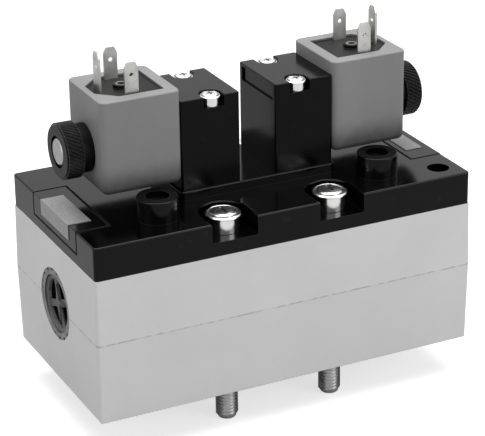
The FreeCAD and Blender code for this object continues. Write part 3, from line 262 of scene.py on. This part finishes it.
# bare or plated metal: fine scratches and stained patches
metals = {
    "ringSteel": {"colour": (0.24, 0.24, 0.242), "stained": (0.13, 0.13, 0.131), "roughness": 0.42,
                  "scratch": 0.0003, "depth": 0.00001, "along": (1, 1, 1)},
    "springSteel": {"colour": (0.48, 0.47, 0.46), "stained": (0.33, 0.32, 0.31), "roughness": 0.3,
                    "scratch": 0.0003, "depth": 0.00001, "along": (1, 1, 1)},
    "spoolMetal": {"colour": (0.66, 0.66, 0.68), "stained": (0.56, 0.56, 0.58), "roughness": 0.24,
                   "scratch": 0.0002, "depth": 0.000006, "along": (6, 1, 1)},
    # darker steel for the painted shade in screw recesses
    "shadedRecessSteel": {"colour": (0.24, 0.24, 0.24), "stained": (0.12, 0.12, 0.12), "roughness": 0.4,
                    "scratch": 0.0003, "depth": 0.000008, "along": (1, 1, 1)},
    "tinnedContact": {"colour": (0.62, 0.615, 0.60), "stained": (0.45, 0.445, 0.435), "roughness": 0.34,
                      "scratch": 0.0005, "depth": 0.000008, "along": (1, 1, 0.2)},
    "insertMetal": {"colour": (0.24, 0.24, 0.235), "stained": (0.13, 0.13, 0.128), "roughness": 0.45,
                    "scratch": 0.0004, "depth": 0.000008, "along": (1, 1, 1)},
    "coreMetal": {"colour": (0.42, 0.42, 0.42), "stained": (0.30, 0.30, 0.30), "roughness": 0.36,
                  "scratch": 0.0002, "depth": 0.000008, "along": (8, 1, 1)},
}
stain = 0.004  # size of one stained patch


def metal(name):
    look = metals[name]
    finish = newFinish(name)
    streaks = finish.noise(look["scratch"], 3.0, look["along"])
    patches = finish.noise(stain, 4.0)
    return principled(
        finish,
        Base_Color=finish.tint(finish.soft(patches, 0.35, 0.75), look["colour"], look["stained"]),
        Roughness=look["roughness"] + (streaks - 0.5) * 0.16 + (patches - 0.5) * 0.08,
        Metallic=1.0,
        Normal=finish.bump(streaks, look["depth"]),
    )


coverCase = {
    "colour": (0.0008, 0.0008, 0.0009), "lighter": (0.002, 0.002, 0.0022), "rubbed": (0.05, 0.05, 0.05),
    "wear": 0.5, "roughness": 0.13, "grain": 0.0003, "depth": 0.000006, "specular": 0.18,
    "joint": {"inner": 0.0597, "front": -0.0219, "back": 0.0176, "floor": 0.0569, "width": 0.0004,
              "ease": 0.0003, "roughness": 0.8},
}


def jointLine(finish, distance):
    width = coverCase["joint"]["width"]
    return finish.soft(abs(distance), width * 1.6, width)


def holderJoint(finish):  # the dark joint round each label holder
    joint = coverCase["joint"]
    outward, height = finish.place("X"), finish.place("Z")
    # the right holder is the left one turned half round
    across = finish.place("Y") * finish.node("Math", {"operation": "SIGN"}, {0: outward}) * -1
    inner = abs(outward) - joint["inner"]
    within = (finish.soft(across, joint["front"] - joint["ease"], joint["front"])
              * finish.soft(across, joint["back"] + joint["ease"], joint["back"]))
    beyond = finish.soft(inner, -joint["width"], 0.0)
    line = (jointLine(finish, inner) * within
            + jointLine(finish, height - joint["floor"]) * within * beyond
            + jointLine(finish, across - joint["front"]) * beyond
            + jointLine(finish, across - joint["back"]) * beyond)
    line = finish.node("Math", {"operation": "MINIMUM"}, {0: line, 1: 1.0})
    return line * finish.soft(height, joint["floor"] - joint["ease"] * 2, joint["floor"])


def coverMoulding():
    finish = newFinish("coverMoulding")
    skin, flow, scuffs = finish.noise(coverCase["grain"], 2.0), flowMarks(finish), handlingScuffs(finish)
    joint = holderJoint(finish)
    rubbed = finish.worn(moulding["edgeRadius"]) * coverCase["wear"] + scuffs * moulding["scuffShare"]
    return principled(
        finish,
        Base_Color=finish.overlay(rubbed * (1 - joint), flowingColour(finish, flow, coverCase),
                                  coverCase["rubbed"]),
        Roughness=(coverCase["roughness"] + (flow - 0.5) * 0.08 + scuffs * moulding["scuffRoughness"]
                   + (skin - 0.5) * 0.05 + joint * coverCase["joint"]["roughness"]),
        Normal=finish.bump(skin, coverCase["depth"]),
        Specular_IOR_Level=coverCase["specular"],
    )


coilCase = {
    "colour": (0.215, 0.215, 0.218), "lighter": (0.245, 0.245, 0.248), "roughness": 0.42, "specular": 0.12,
    # lighter edges: edge wear, and a painted highlight that lightens the top rim
    "edge": (0.36, 0.36, 0.36), "edgeRadius": 0.0004, "edgeShare": 0.6, "grain": 0.00028, "depth": 0.000015,
    # painted shade: the foot is darkened where it nearly touches the cover
    "paintedDark": (0.03, 0.03, 0.03), "paintedShadeShare": 0.85, "paintedShadeTop": 0.0835, "paintedShadeFoot": 0.0722,
    "paintedShadeCloud": 0.006, "paintedShadeSway": 0.004,
}


def coilMoulding():  # painted shade darkens its foot, where it nearly touches the cover
    finish = newFinish("coilMoulding")
    skin, flow = finish.noise(coilCase["grain"], 2.0), flowMarks(finish)
    sway = (finish.noise(coilCase["paintedShadeCloud"], 3.0) - 0.5) * coilCase["paintedShadeSway"]
    # painted shade, darkest at the foot
    paintedShade = finish.soft(finish.place("Z") + sway, coilCase["paintedShadeTop"], coilCase["paintedShadeFoot"])
    # edge wear, and a painted highlight on the top rim
    worn = finish.worn(coilCase["edgeRadius"]) * coilCase["edgeShare"]
    clean = finish.overlay(worn, flowingColour(finish, flow, coilCase), coilCase["edge"])
    return principled(
        finish,
        Base_Color=finish.overlay(paintedShade * coilCase["paintedShadeShare"], clean, coilCase["paintedDark"]),
        Roughness=coilCase["roughness"] + (flow - 0.5) * 0.12 + (skin - 0.5) * 0.08 + paintedShade * 0.2,
        Normal=finish.bump(skin, coilCase["depth"]),
        Specular_IOR_Level=coilCase["specular"],
    )


capFace = {"colour": (0.10, 0.10, 0.102), "lighter": (0.14, 0.14, 0.143), "cloud": 0.006,
           # painted shade: near black in the hollows between the ribs
           "hollow": (0.0005, 0.0005, 0.0005), "hollowFrom": 0.0706, "hollowTo": 0.0702,
           "roughness": 0.45, "grain": 0.0004, "depth": 0.00003, "specular": 0.1}


def capCasting():  # the hollows between its ribs are painted near black: painted shade
    finish = newFinish("capCasting")
    grain = finish.noise(capFace["grain"], 2.0)
    # painted shade in the hollows
    hollow = finish.soft(abs(finish.place("X")), capFace["hollowFrom"], capFace["hollowTo"])
    cloud = finish.soft(finish.noise(capFace["cloud"], 3.0), 0.3, 0.7)
    return principled(
        finish,
        Base_Color=finish.overlay(hollow, finish.tint(cloud, capFace["colour"], capFace["lighter"]),
                                  capFace["hollow"]),
        Roughness=capFace["roughness"] + (grain - 0.5) * 0.2 + hollow * 0.5,
        Normal=finish.bump(grain, capFace["depth"]),
        Specular_IOR_Level=capFace["specular"],
    )


plating = {"colour": (0.92, 0.92, 0.91), "stained": (0.80, 0.80, 0.79), "roughness": 0.2, "scratch": 0.0004,
           # painted shade: the thread colour below the body is darker
           "depth": 0.000006, "thread": (0.45, 0.45, 0.45), "threadShadeShare": 0.8, "threadShadeEase": 0.0008}


def platedSteel():  # bright zinc, stained in patches; the thread below the body is darkened as painted shade
    finish = newFinish("platedScrew")
    streaks = finish.noise(plating["scratch"], 3.0)
    patches = finish.soft(finish.noise(stain, 4.0), 0.35, 0.75)
    # painted shade below the body
    thread = finish.soft(finish.place("Z"), plating["threadShadeEase"], -plating["threadShadeEase"])
    base = finish.tint(patches, plating["colour"], plating["stained"])
    return principled(
        finish,
        Base_Color=finish.overlay(thread * plating["threadShadeShare"], base, plating["thread"]),
        Roughness=plating["roughness"] + (streaks - 0.5) * 0.16 + thread * 0.1,
        Metallic=1.0,
        Normal=finish.bump(streaks, plating["depth"]),
    )


card = {"colour": (0.22, 0.22, 0.22), "fibrous": (0.17, 0.17, 0.17), "smudged": (0.15, 0.15, 0.15),
        "smudgeShare": 0.35, "fibre": 0.0006, "smudge": 0.0045, "roughness": 0.35, "depth": 0.00002,
        "specular": 0.8}


def cardboard():
    finish = newFinish("markingCard")
    fibre = finish.noise(card["fibre"], 4.0, (1, 0.4, 1))
    smudge = finish.soft(finish.noise(card["smudge"], 4.0), 0.45, 0.7)
    base = finish.tint(finish.soft(fibre, 0.3, 0.7), card["colour"], card["fibrous"])
    return principled(
        finish,
        Base_Color=finish.overlay(smudge * card["smudgeShare"], base, card["smudged"]),
        Roughness=card["roughness"] + (fibre - 0.5) * 0.2,
        Normal=finish.bump(fibre, card["depth"]),
        Specular_IOR_Level=card["specular"],
    )


seal = {"colour": (0.012, 0.012, 0.012), "bloomed": (0.03, 0.03, 0.03), "bloom": 0.0015, "roughness": 0.72,
        "depth": 0.00002}


def rubber():
    finish = newFinish("sealRubber")
    bloom = finish.noise(seal["bloom"], 4.0)
    return principled(
        finish,
        Base_Color=finish.tint(finish.soft(bloom, 0.4, 0.8), seal["colour"], seal["bloomed"]),
        Roughness=seal["roughness"] + (bloom - 0.5) * 0.2,
        Normal=finish.bump(bloom, seal["depth"]),
    )


# the grooves between turns are darker than the crests: painted shade
winding = {"groove": (0.34, 0.11, 0.05), "crest": (0.62, 0.26, 0.12), "pitch": 0.0005, "depth": 0.00008,
           "roughness": 0.34, "metal": 0.9}


def enamelledWire():
    finish = newFinish("enamelledWire")
    turns = finish.waves(finish.place("X") * (2 * math.pi / winding["pitch"]))
    return principled(
        finish,
        # painted shade in the grooves between turns
        Base_Color=finish.tint(turns * 0.5 + 0.5, winding["groove"], winding["crest"]),
        Roughness=winding["roughness"] + turns * 0.05,
        Metallic=winding["metal"],
        Normal=finish.bump(turns, winding["depth"]),
    )


# the second is darker, for painted shade in the screw recesses
screwSteel, shadedRecessSteel = platedSteel(), metal("shadedRecessSteel")

finishOf = {
    castAluminium(): ["valve_body"],
    coverMoulding(): ["pilot_cover", "label_holder_left", "label_holder_right"],
    moulded("pilotMoulding"): ["pilot_block_left", "pilot_block_right"],
    moulded("buttonMoulding"): ["override_button_left", "override_button_right", "coil_ring_left",
                                "coil_ring_right"],
    cardboard(): ["label_left", "label_right"],
    capCasting(): ["end_cap_left", "end_cap_right"],
    metal("ringSteel"): ["end_cap_ring_left", "end_cap_ring_right"],
    metal("springSteel"): ["override_spring_left", "override_spring_right", "armature_spring_left",
                           "armature_spring_right"],
    rubber(): ["base_gasket", "cover_gasket", "spool_seals", "piston_seal_left", "piston_seal_right",
               "end_cap_seal_left", "end_cap_seal_right", "pilot_gasket_left", "pilot_gasket_right"],
    metal("spoolMetal"): ["spool"],
    moulded("cageMoulding"): ["spool_cages", "screw_retainers", "piston_left", "piston_right"],
    screwSteel: ["mounting_screw_front_left", "mounting_screw_front_right", "mounting_screw_back_left",
                 "mounting_screw_back_right", "pilot_screws_left", "pilot_screws_right"],
    coilMoulding(): ["coil_left", "coil_right"],
    enamelledWire(): ["coil_winding_left", "coil_winding_right"],
    moulded("terminalMoulding"): ["terminal_block_left", "terminal_block_right"],
    metal("tinnedContact"): ["power_blades_left", "power_blades_right", "earth_blade_left",
                             "earth_blade_right"],
    metal("insertMetal"): ["thread_insert_left", "thread_insert_right"],
    metal("coreMetal"): ["core_tube_left", "core_tube_right", "fixed_core_left", "fixed_core_right",
                         "armature_left", "armature_right"],
    moulded("nutMoulding"): ["coil_nut_left", "coil_nut_right"],
}
for material, names in finishOf.items():
    for name in names:
        slots = nodes[name].material_slots
        if not slots:
            nodes[name].data.materials.append(material)
        for place in slots:
            place.material = material
dressed = {name for names in finishOf.values() for name in names}
print("materials on", len(dressed), "of", len(nodes), "solids")


# screws with a tapered cross recess, and a real thread where it is seen
rounding = {"bevelAbove": math.radians(40), "smoothBelow": math.radians(30), "coilBelow": math.radians(40)}
along = 0.9  # a face whose normal reaches this looks along the direction
sliver = 0.000005  # shorter edges are merged: the booleans leave some
touching = 0.000001  # a solid's loose triangles share a corner within this


def choose(piece):  # the one selected object, and the active one
    bpy.ops.object.select_all(action="DESELECT")
    piece.select_set(True)
    bpy.context.view_layer.objects.active = piece


def editing(piece):
    choose(piece)
    bpy.ops.object.mode_set(mode="EDIT")


def pick(piece, test):  # selects the faces whose centre and normal pass
    bpy.ops.object.mode_set(mode="OBJECT")
    choose(piece)
    for face in piece.data.polygons:
        face.select = test(face.center, face.normal)
    for edge in piece.data.edges:
        edge.select = False
    for point in piece.data.vertices:
        point.select = False
    for face in piece.data.polygons:
        if face.select:
            for number in face.vertices:
                piece.data.vertices[number].select = True
    bpy.ops.object.mode_set(mode="EDIT")
    bpy.ops.mesh.select_mode(type="FACE")


def applied(piece, kind, **settings):
    bpy.ops.object.mode_set(mode="OBJECT")
    choose(piece)
    modifier = piece.modifiers.new(kind.title(), kind)
    for name, value in settings.items():
        setattr(modifier, name, value)
    bpy.ops.object.modifier_apply(modifier=modifier.name)


def combined(piece, tool, operation):
    applied(piece, "BOOLEAN", operation=operation, object=tool, solver="EXACT")
    bpy.data.objects.remove(tool)


def faceOutwards():  # ends the edit of a closed mesh
    bpy.ops.mesh.select_all(action="SELECT")
    bpy.ops.mesh.normals_make_consistent(inside=False)
    bpy.ops.object.mode_set(mode="OBJECT")


def withoutSlivers(piece):
    editing(piece)
    bpy.ops.mesh.select_all(action="SELECT")
    bpy.ops.mesh.remove_doubles(threshold=sliver)
    bpy.ops.mesh.dissolve_degenerate(threshold=sliver)
    faceOutwards()


def rounded(piece, width):
    applied(piece, "BEVEL", width=width, segments=2, limit_method="ANGLE", angle_limit=rounding["bevelAbove"])


def shadedSmooth(piece):
    choose(piece)
    bpy.ops.object.shade_smooth_by_angle(angle=rounding["smoothBelow"])
    applied(piece, "WEIGHTED_NORMAL", keep_sharp=True)


def turnUp(name, rings, sides):  # a round piece drawn upwards, ring by ring
    radius, height = rings[0]
    bpy.ops.mesh.primitive_circle_add(vertices=sides, radius=radius, fill_type="NGON",
                                      location=(0, 0, height))
    piece = bpy.context.object
    piece.name = name
    bpy.ops.object.transform_apply(location=True)
    editing(piece)
    bpy.ops.mesh.select_all(action="SELECT")
    for wide, high in rings[1:]:
        bpy.ops.mesh.extrude_region_move(TRANSFORM_OT_translate={"value": (0, 0, high - height)})
        bpy.ops.transform.resize(value=(wide / radius, wide / radius, 1))
        radius, height = wide, high
    faceOutwards()
    return piece


def crossCutter(cross, top):
    width, reach, depth = cross["width"], cross["reach"], cross["depth"]
    over = depth * 0.5
    bpy.ops.mesh.primitive_cube_add(size=1, location=(0, 0, top + (over - depth) / 2))
    cutter = bpy.context.object
    cutter.scale = (width, width, depth + over)
    bpy.ops.object.transform_apply(location=True, scale=True)
    editing(cutter)
    for direction in ((1, 0, 0), (-1, 0, 0), (0, 1, 0), (0, -1, 0)):
        side = Vector(direction)
        # the cube's own face, not the sides of the arms that are there already
        pick(cutter, lambda centre, normal: (normal.dot(side) > along
                                             and abs(centre.xy.cross(side.xy)) < width / 4))
        bpy.ops.mesh.extrude_region_move(TRANSFORM_OT_translate={"value": side * (reach - width / 2)})
    pick(cutter, lambda centre, normal: normal.z < -along)
    bpy.ops.transform.resize(value=(cross["taper"], cross["taper"], 1))
    faceOutwards()
    return cutter


def threadRidge(thread):  # one turn's outline wound upwards, then closed at both ends
    half = thread["pitch"] * thread["halfWidth"]
    inner, crest = thread["root"] - thread["sunk"], thread["crest"]
    bpy.ops.mesh.primitive_plane_add(size=1, rotation=(math.pi / 2, 0, 0),
                                     location=((inner + crest) / 2, 0, thread["low"] + half))
    ridge = bpy.context.object
    ridge.scale = (crest - inner, half * 2, 1)
    bpy.ops.object.transform_apply(location=True, rotation=True, scale=True)
    for point in ridge.data.vertices:
        point.select = point.co.x > (inner + crest) / 2
    editing(ridge)
    bpy.ops.mesh.select_mode(type="VERT")
    bpy.ops.transform.resize(value=(1, 1, thread["flat"]))
    bpy.ops.mesh.select_all(action="SELECT")
    bpy.ops.mesh.delete(type="ONLY_FACE")
    turns = int((thread["high"] - thread["low"] - half * 2) / thread["pitch"])
    applied(ridge, "SCREW", axis="Z", angle=2 * math.pi * turns, screw_offset=thread["pitch"] * turns,
            steps=thread["steps"] * turns, render_steps=thread["steps"] * turns, use_merge_vertices=False)
    editing(ridge)
    bpy.ops.mesh.select_all(action="SELECT")
    bpy.ops.mesh.fill_holes(sides=4)
    faceOutwards()
    return ridge


def headRings(head, seat):  # collar, flange, groove and dome above the seat
    collarTop = seat + head["collarHeight"]
    flangeTop = collarTop + head["flangeHeight"]
    foot = flangeTop - head["groove"]
    rings = [(head["collar"], seat), (head["collar"], collarTop), (head["flange"], collarTop),
             (head["flange"], foot), (head["dome"] + head["groove"] * 2, flangeTop),
             (head["dome"] + head["groove"], foot), (head["dome"], foot)]
    for step in range(1, head["domeSteps"] + 1):
        angle = math.pi / 2 * step / (head["domeSteps"] + 1)
        rings.append((head["dome"] * math.cos(angle), flangeTop + head["domeHeight"] * math.sin(angle)))
    return rings


# where painted shade goes: the cross recess and the groove round the dome
paintedShade = {"grooveInner": 0.985, "grooveOuter": 1.6, "grooveTop": 0.9, "floor": 0.2, "wall": 0.5,
         "aboveCollar": 0.0001}


def paintShadeInRecess(screw, settings):  # painted shade in the recess and in the groove round the dome
    seat, head = settings["seat"], settings["head"]
    under = seat + head["collarHeight"]
    foot = under + head["flangeHeight"] - head["groove"]
    grooveFrom = head["dome"] * paintedShade["grooveInner"]
    grooveTo = head["dome"] + head["groove"] * paintedShade["grooveOuter"]

    def paintedDark(centre, normal):
        across = centre.xy.length
        sunk = centre.z < foot + head["groove"] * paintedShade["floor"]
        recess = across < settings["cross"]["reach"] and (sunk or normal.z < paintedShade["wall"])
        groove = grooveFrom < across < grooveTo and centre.z < foot + head["groove"] * paintedShade["grooveTop"]
        return centre.z > under + paintedShade["aboveCollar"] and (recess or groove)

    screw.data.materials.append(screwSteel)
    screw.data.materials.append(shadedRecessSteel)
    pick(screw, paintedDark)
    screw.active_material_index = 1
    bpy.ops.object.material_slot_assign()
    bpy.ops.object.mode_set(mode="OBJECT")


def makeScrew(name, settings, lower):
    rings = lower + headRings(settings["head"], settings["seat"])
    screw = turnUp(name, rings, settings["sides"])
    rounded(screw, settings["round"])
    combined(screw, crossCutter(settings["cross"], rings[-1][1]), "DIFFERENCE")
    if "thread" in settings:
        combined(screw, threadRidge(settings["thread"]), "UNION")
    withoutSlivers(screw)
    shadedSmooth(screw)
    paintShadeInRecess(screw, settings)
    return screw


def copyTo(model, name, x, y):
    choose(model)
    bpy.ops.object.duplicate(linked=False)
    copied = bpy.context.object
    copied.name = name
    copied.location = (x, y, 0)
    bpy.ops.object.transform_apply(location=True)
    return copied


def solidCopy(node, name):  # a solid's own mesh, merged, as a new piece
    choose(nodes[node])
    bpy.ops.object.duplicate(linked=False)
    copied = bpy.context.object
    copied.name = name
    del copied["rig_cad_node"]  # the copy is no longer the solid that the frame tagged
    bpy.ops.object.parent_clear(type="CLEAR_KEEP_TRANSFORM")
    bpy.ops.object.transform_apply(location=True, rotation=True, scale=True)
    editing(copied)
    bpy.ops.mesh.select_all(action="SELECT")
    bpy.ops.mesh.remove_doubles(threshold=touching)
    faceOutwards()
    return copied


def standFor(piece, node, body):  # the piece takes the place of a solid
    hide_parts(node)
    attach(piece, body)


mountingScrew = {
    "seat": 0.0582, "sides": 64, "round": 0.00022,
    "head": {"collar": 0.0054, "collarHeight": 0.0055, "flange": 0.0063, "flangeHeight": 0.0011,
             "groove": 0.0005, "dome": 0.0048, "domeHeight": 0.00094, "domeSteps": 7},
    "cross": {"width": 0.0013, "reach": 0.0031, "depth": 0.0029, "taper": 0.45},
    "tip": -0.0137, "tipRadius": 0.0029, "shank": 0.0036, "shankFrom": 0.0003,
    "thread": {"pitch": 0.00125, "root": 0.00335, "crest": 0.0040, "flat": 0.3, "halfWidth": 0.47,
               "sunk": 0.0002, "steps": 36, "low": -0.0132, "high": 0.0},
}
threadRoot, screwTip = mountingScrew["thread"]["root"], mountingScrew["tip"]
masterScrew = makeScrew("masterScrew", mountingScrew, [
    (mountingScrew["tipRadius"], screwTip), (threadRoot, screwTip + threadRoot - mountingScrew["tipRadius"]),
    (threadRoot, 0.0), (mountingScrew["shank"], mountingScrew["shankFrom"]),
    (mountingScrew["shank"], mountingScrew["seat"]),
])
for row in ("front", "back"):
    for side in ("left", "right"):
        node = f"mounting_screw_{row}_{side}"
        low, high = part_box(node)
        screw = copyTo(masterScrew, f"threadedScrew_{row}_{side}", (low.x + high.x) / 2, (low.y + high.y) / 2)
        standFor(screw, node, f"screw_{row}_{side}")
bpy.data.objects.remove(masterScrew)
print("mounting screws modelled")

pilotScrew = {
    "seat": 0.0973, "sides": 48, "round": 0.00012,
    "head": {"collar": 0.0031, "collarHeight": 0.00285, "flange": 0.0036, "flangeHeight": 0.00075,
             "groove": 0.00025, "dome": 0.00275, "domeHeight": 0.00059, "domeSteps": 7},
    "cross": {"width": 0.00075, "reach": 0.0018, "depth": 0.00155, "taper": 0.45},
    "shank": 0.0020, "chamfer": 0.0001,
}
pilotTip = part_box("pilot_screws_left")[0].z
masterPilot = makeScrew("masterPilot", pilotScrew, [
    (pilotScrew["shank"] - pilotScrew["chamfer"], pilotTip),
    (pilotScrew["shank"], pilotTip + pilotScrew["chamfer"]),
    (pilotScrew["shank"], pilotScrew["seat"]),
])
for side in ("left", "right"):
    node = f"pilot_screws_{side}"
    low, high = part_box(node)
    fromEdge = pilotScrew["head"]["flange"]
    pair = [copyTo(masterPilot, f"pilotScrews_{side}", (low.x + high.x) / 2, y)
            for y in (low.y + fromEdge, high.y - fromEdge)]
    bpy.ops.object.select_all(action="DESELECT")
    for screw in pair:
        screw.select_set(True)
    bpy.context.view_layer.objects.active = pair[0]
    bpy.ops.object.join()
    standFor(pair[0], node, "valve")
bpy.data.objects.remove(masterPilot)
print("pilot screws modelled")


# end caps: the same crossed hollow as the solid's, at the angle to which the cap was turned
endCap = {"face": 0.0709, "axisHeight": 0.0296, "rim": 0.0089, "depth": 0.0036, "bar": 0.00255,
          "angle": math.radians(21), "sides": 96, "round": 0.00012, "fillWider": 0.0003, "fillDeeper": 0.0002}


def plug(radius, x, long):  # a round bar along X
    bpy.ops.mesh.primitive_cylinder_add(vertices=endCap["sides"], radius=radius, depth=long,
                                        location=(x, 0, endCap["axisHeight"]), rotation=(0, math.pi / 2, 0))
    made = bpy.context.object
    bpy.ops.object.transform_apply(location=True, rotation=True)
    return made


def crossedHollow(side):  # a round cutter that leaves two crossed bars standing
    over = endCap["depth"] * 0.5
    long = endCap["depth"] + over
    middle = side * (endCap["face"] + over - long / 2)
    cutter = plug(endCap["rim"], middle, long)
    for quarter in (0, math.pi / 2):
        bpy.ops.mesh.primitive_cube_add(size=1, location=(middle, 0, endCap["axisHeight"]))
        bar = bpy.context.object
        bar.scale = (long * 1.5, endCap["rim"] * 2.5, endCap["bar"])
        bpy.ops.object.transform_apply(location=True, scale=True)
        editing(bar)
        bpy.ops.mesh.select_all(action="SELECT")
        bpy.ops.transform.rotate(value=-side * endCap["angle"] + quarter, orient_axis="X",
                                 center_override=(0, 0, endCap["axisHeight"]))
        bpy.ops.object.mode_set(mode="OBJECT")
        combined(cutter, bar, "DIFFERENCE")
    return cutter


def turnedCap(word, side):
    node = f"end_cap_{word}"
    cap = solidCopy(node, f"turnedCap_{word}")
    backing = endCap["depth"] + endCap["fillDeeper"]
    filled = plug(endCap["rim"] + endCap["fillWider"], side * (endCap["face"] - backing / 2), backing)
    combined(cap, filled, "UNION")
    combined(cap, crossedHollow(side), "DIFFERENCE")
    withoutSlivers(cap)
    rounded(cap, endCap["round"])
    withoutSlivers(cap)
    shadedSmooth(cap)
    standFor(cap, node, "valve")


turnedCap("left", -1)
turnedCap("right", 1)
print("end caps turned")


# springs: each a copy of its solid, shaded smooth, in the solid's place
springs = {
    "armature": {"joint": "armature_slide", "axis": (1, 0, 0), "mirrored": True, "fixedEnd": 0.02485,
                 "travel": 0.001},
    "override": {"joint": "override_press", "axis": (0, 0, 1), "mirrored": False, "fixedEnd": 0.0531,
                 "travel": 0.002},
}


def shorteningSpring(kind, word):
    node = f"{kind}_spring_{word}"
    wire = solidCopy(node, f"{kind}SpringWire_{word}")
    bpy.ops.object.shade_smooth_by_angle(angle=rounding["coilBelow"])
    standFor(wire, node, "valve")
    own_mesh(wire)


for kind, spring in springs.items():
    shorteningSpring(kind, "left")
    shorteningSpring(kind, "right")


# floor, light and camera
studio = {
    "floorHeight": -0.0138, "floorSize": 6.0, "floorColour": (0.52, 0.52, 0.52, 1), "floorGlow": 0.66,
    "air": 0.34,
    "lamps": {
        "overhead": {"place": (0.05, 0.1, 1.2), "size": 1.3, "power": 22.0},
        "frontRight": {"place": (0.85, -1.2, 0.45), "size": 0.9, "power": 7.0},
        "leftSide": {"place": (-1.3, -0.3, 0.45), "size": 0.9, "power": 2.4},
    },
    "target": (0, 0, 0.05),
}


def seenDirectly(finish):  # camera, mirror and glass rays
    seen = [finish.node("LightPath", output=name)
            for name in ("Is Camera Ray", "Is Glossy Ray", "Is Transmission Ray")]
    return finish.node("Math", {"operation": "ADD", "use_clamp": True}, {0: seen[0] + seen[1], 1: seen[2]})


def layFloor():
    bpy.ops.mesh.primitive_plane_add(size=studio["floorSize"], location=(0, 0, studio["floorHeight"]))
    floor = bpy.context.object
    floor.name = "floor"
    finish = newFinish("paleFloor")
    base = finish.node("BsdfPrincipled", values={
        "Base Color": studio["floorColour"], "Roughness": 0.9, "Specular IOR Level": 0.0})
    seen = finish.node("LightPath", output="Is Camera Ray")
    glow = finish.node("Emission", values={"Strength": seen * studio["floorGlow"]})
    finish.close(finish.node("AddShader", values={0: base, 1: glow}))
    floor.data.materials.append(finish.owner)


def fillAir():
    world = bpy.data.worlds.new("studioAir")
    bpy.context.scene.world = world
    finish = Finish(world)
    soft = finish.node("Background", values={"Color": (1, 1, 1, 1), "Strength": studio["air"]})
    white = finish.node("Background", values={"Color": (1, 1, 1, 1), "Strength": 1.0})
    both = finish.node("MixShader", values={0: seenDirectly(finish), 1: soft, 2: white})
    finish.close(both, "OutputWorld")


def hangLamps():
    for name, lamp in studio["lamps"].items():
        bpy.ops.object.light_add(type="AREA", location=lamp["place"])
        made = bpy.context.object
        made.name = name
        made.data.shape = "SQUARE"
        made.data.size = lamp["size"]
        made.data.energy = lamp["power"]
        aim = Vector(studio["target"]) - Vector(lamp["place"])
        made.rotation_euler = aim.to_track_quat("-Z", "Y").to_euler()


view = {
    "place": (-0.30147, -0.62400, 0.34531),
    "azimuth": -25.818, "elevation": 23.257, "roll": -0.874,
    "lens": 156.12, "sensor": 36,
}


def setCamera():
    bpy.ops.object.camera_add(location=view["place"])
    camera = bpy.context.object
    azimuth, elevation = math.radians(view["azimuth"]), math.radians(view["elevation"])
    back = Vector((math.sin(azimuth) * math.cos(elevation), -math.cos(azimuth) * math.cos(elevation),
                   math.sin(elevation)))
    level = (-back).to_track_quat("-Z", "Y")
    camera.rotation_mode = "QUATERNION"
    camera.rotation_quaternion = level @ Quaternion((0, 0, 1), math.radians(view["roll"]))
    camera.data.lens = view["lens"]
    camera.data.sensor_width = view["sensor"]
    bpy.context.scene.camera = camera


layFloor()
fillAir()
hangLamps()
setCamera()
bpy.context.scene.view_settings.view_transform = "Standard"
print("floor, light and camera set")
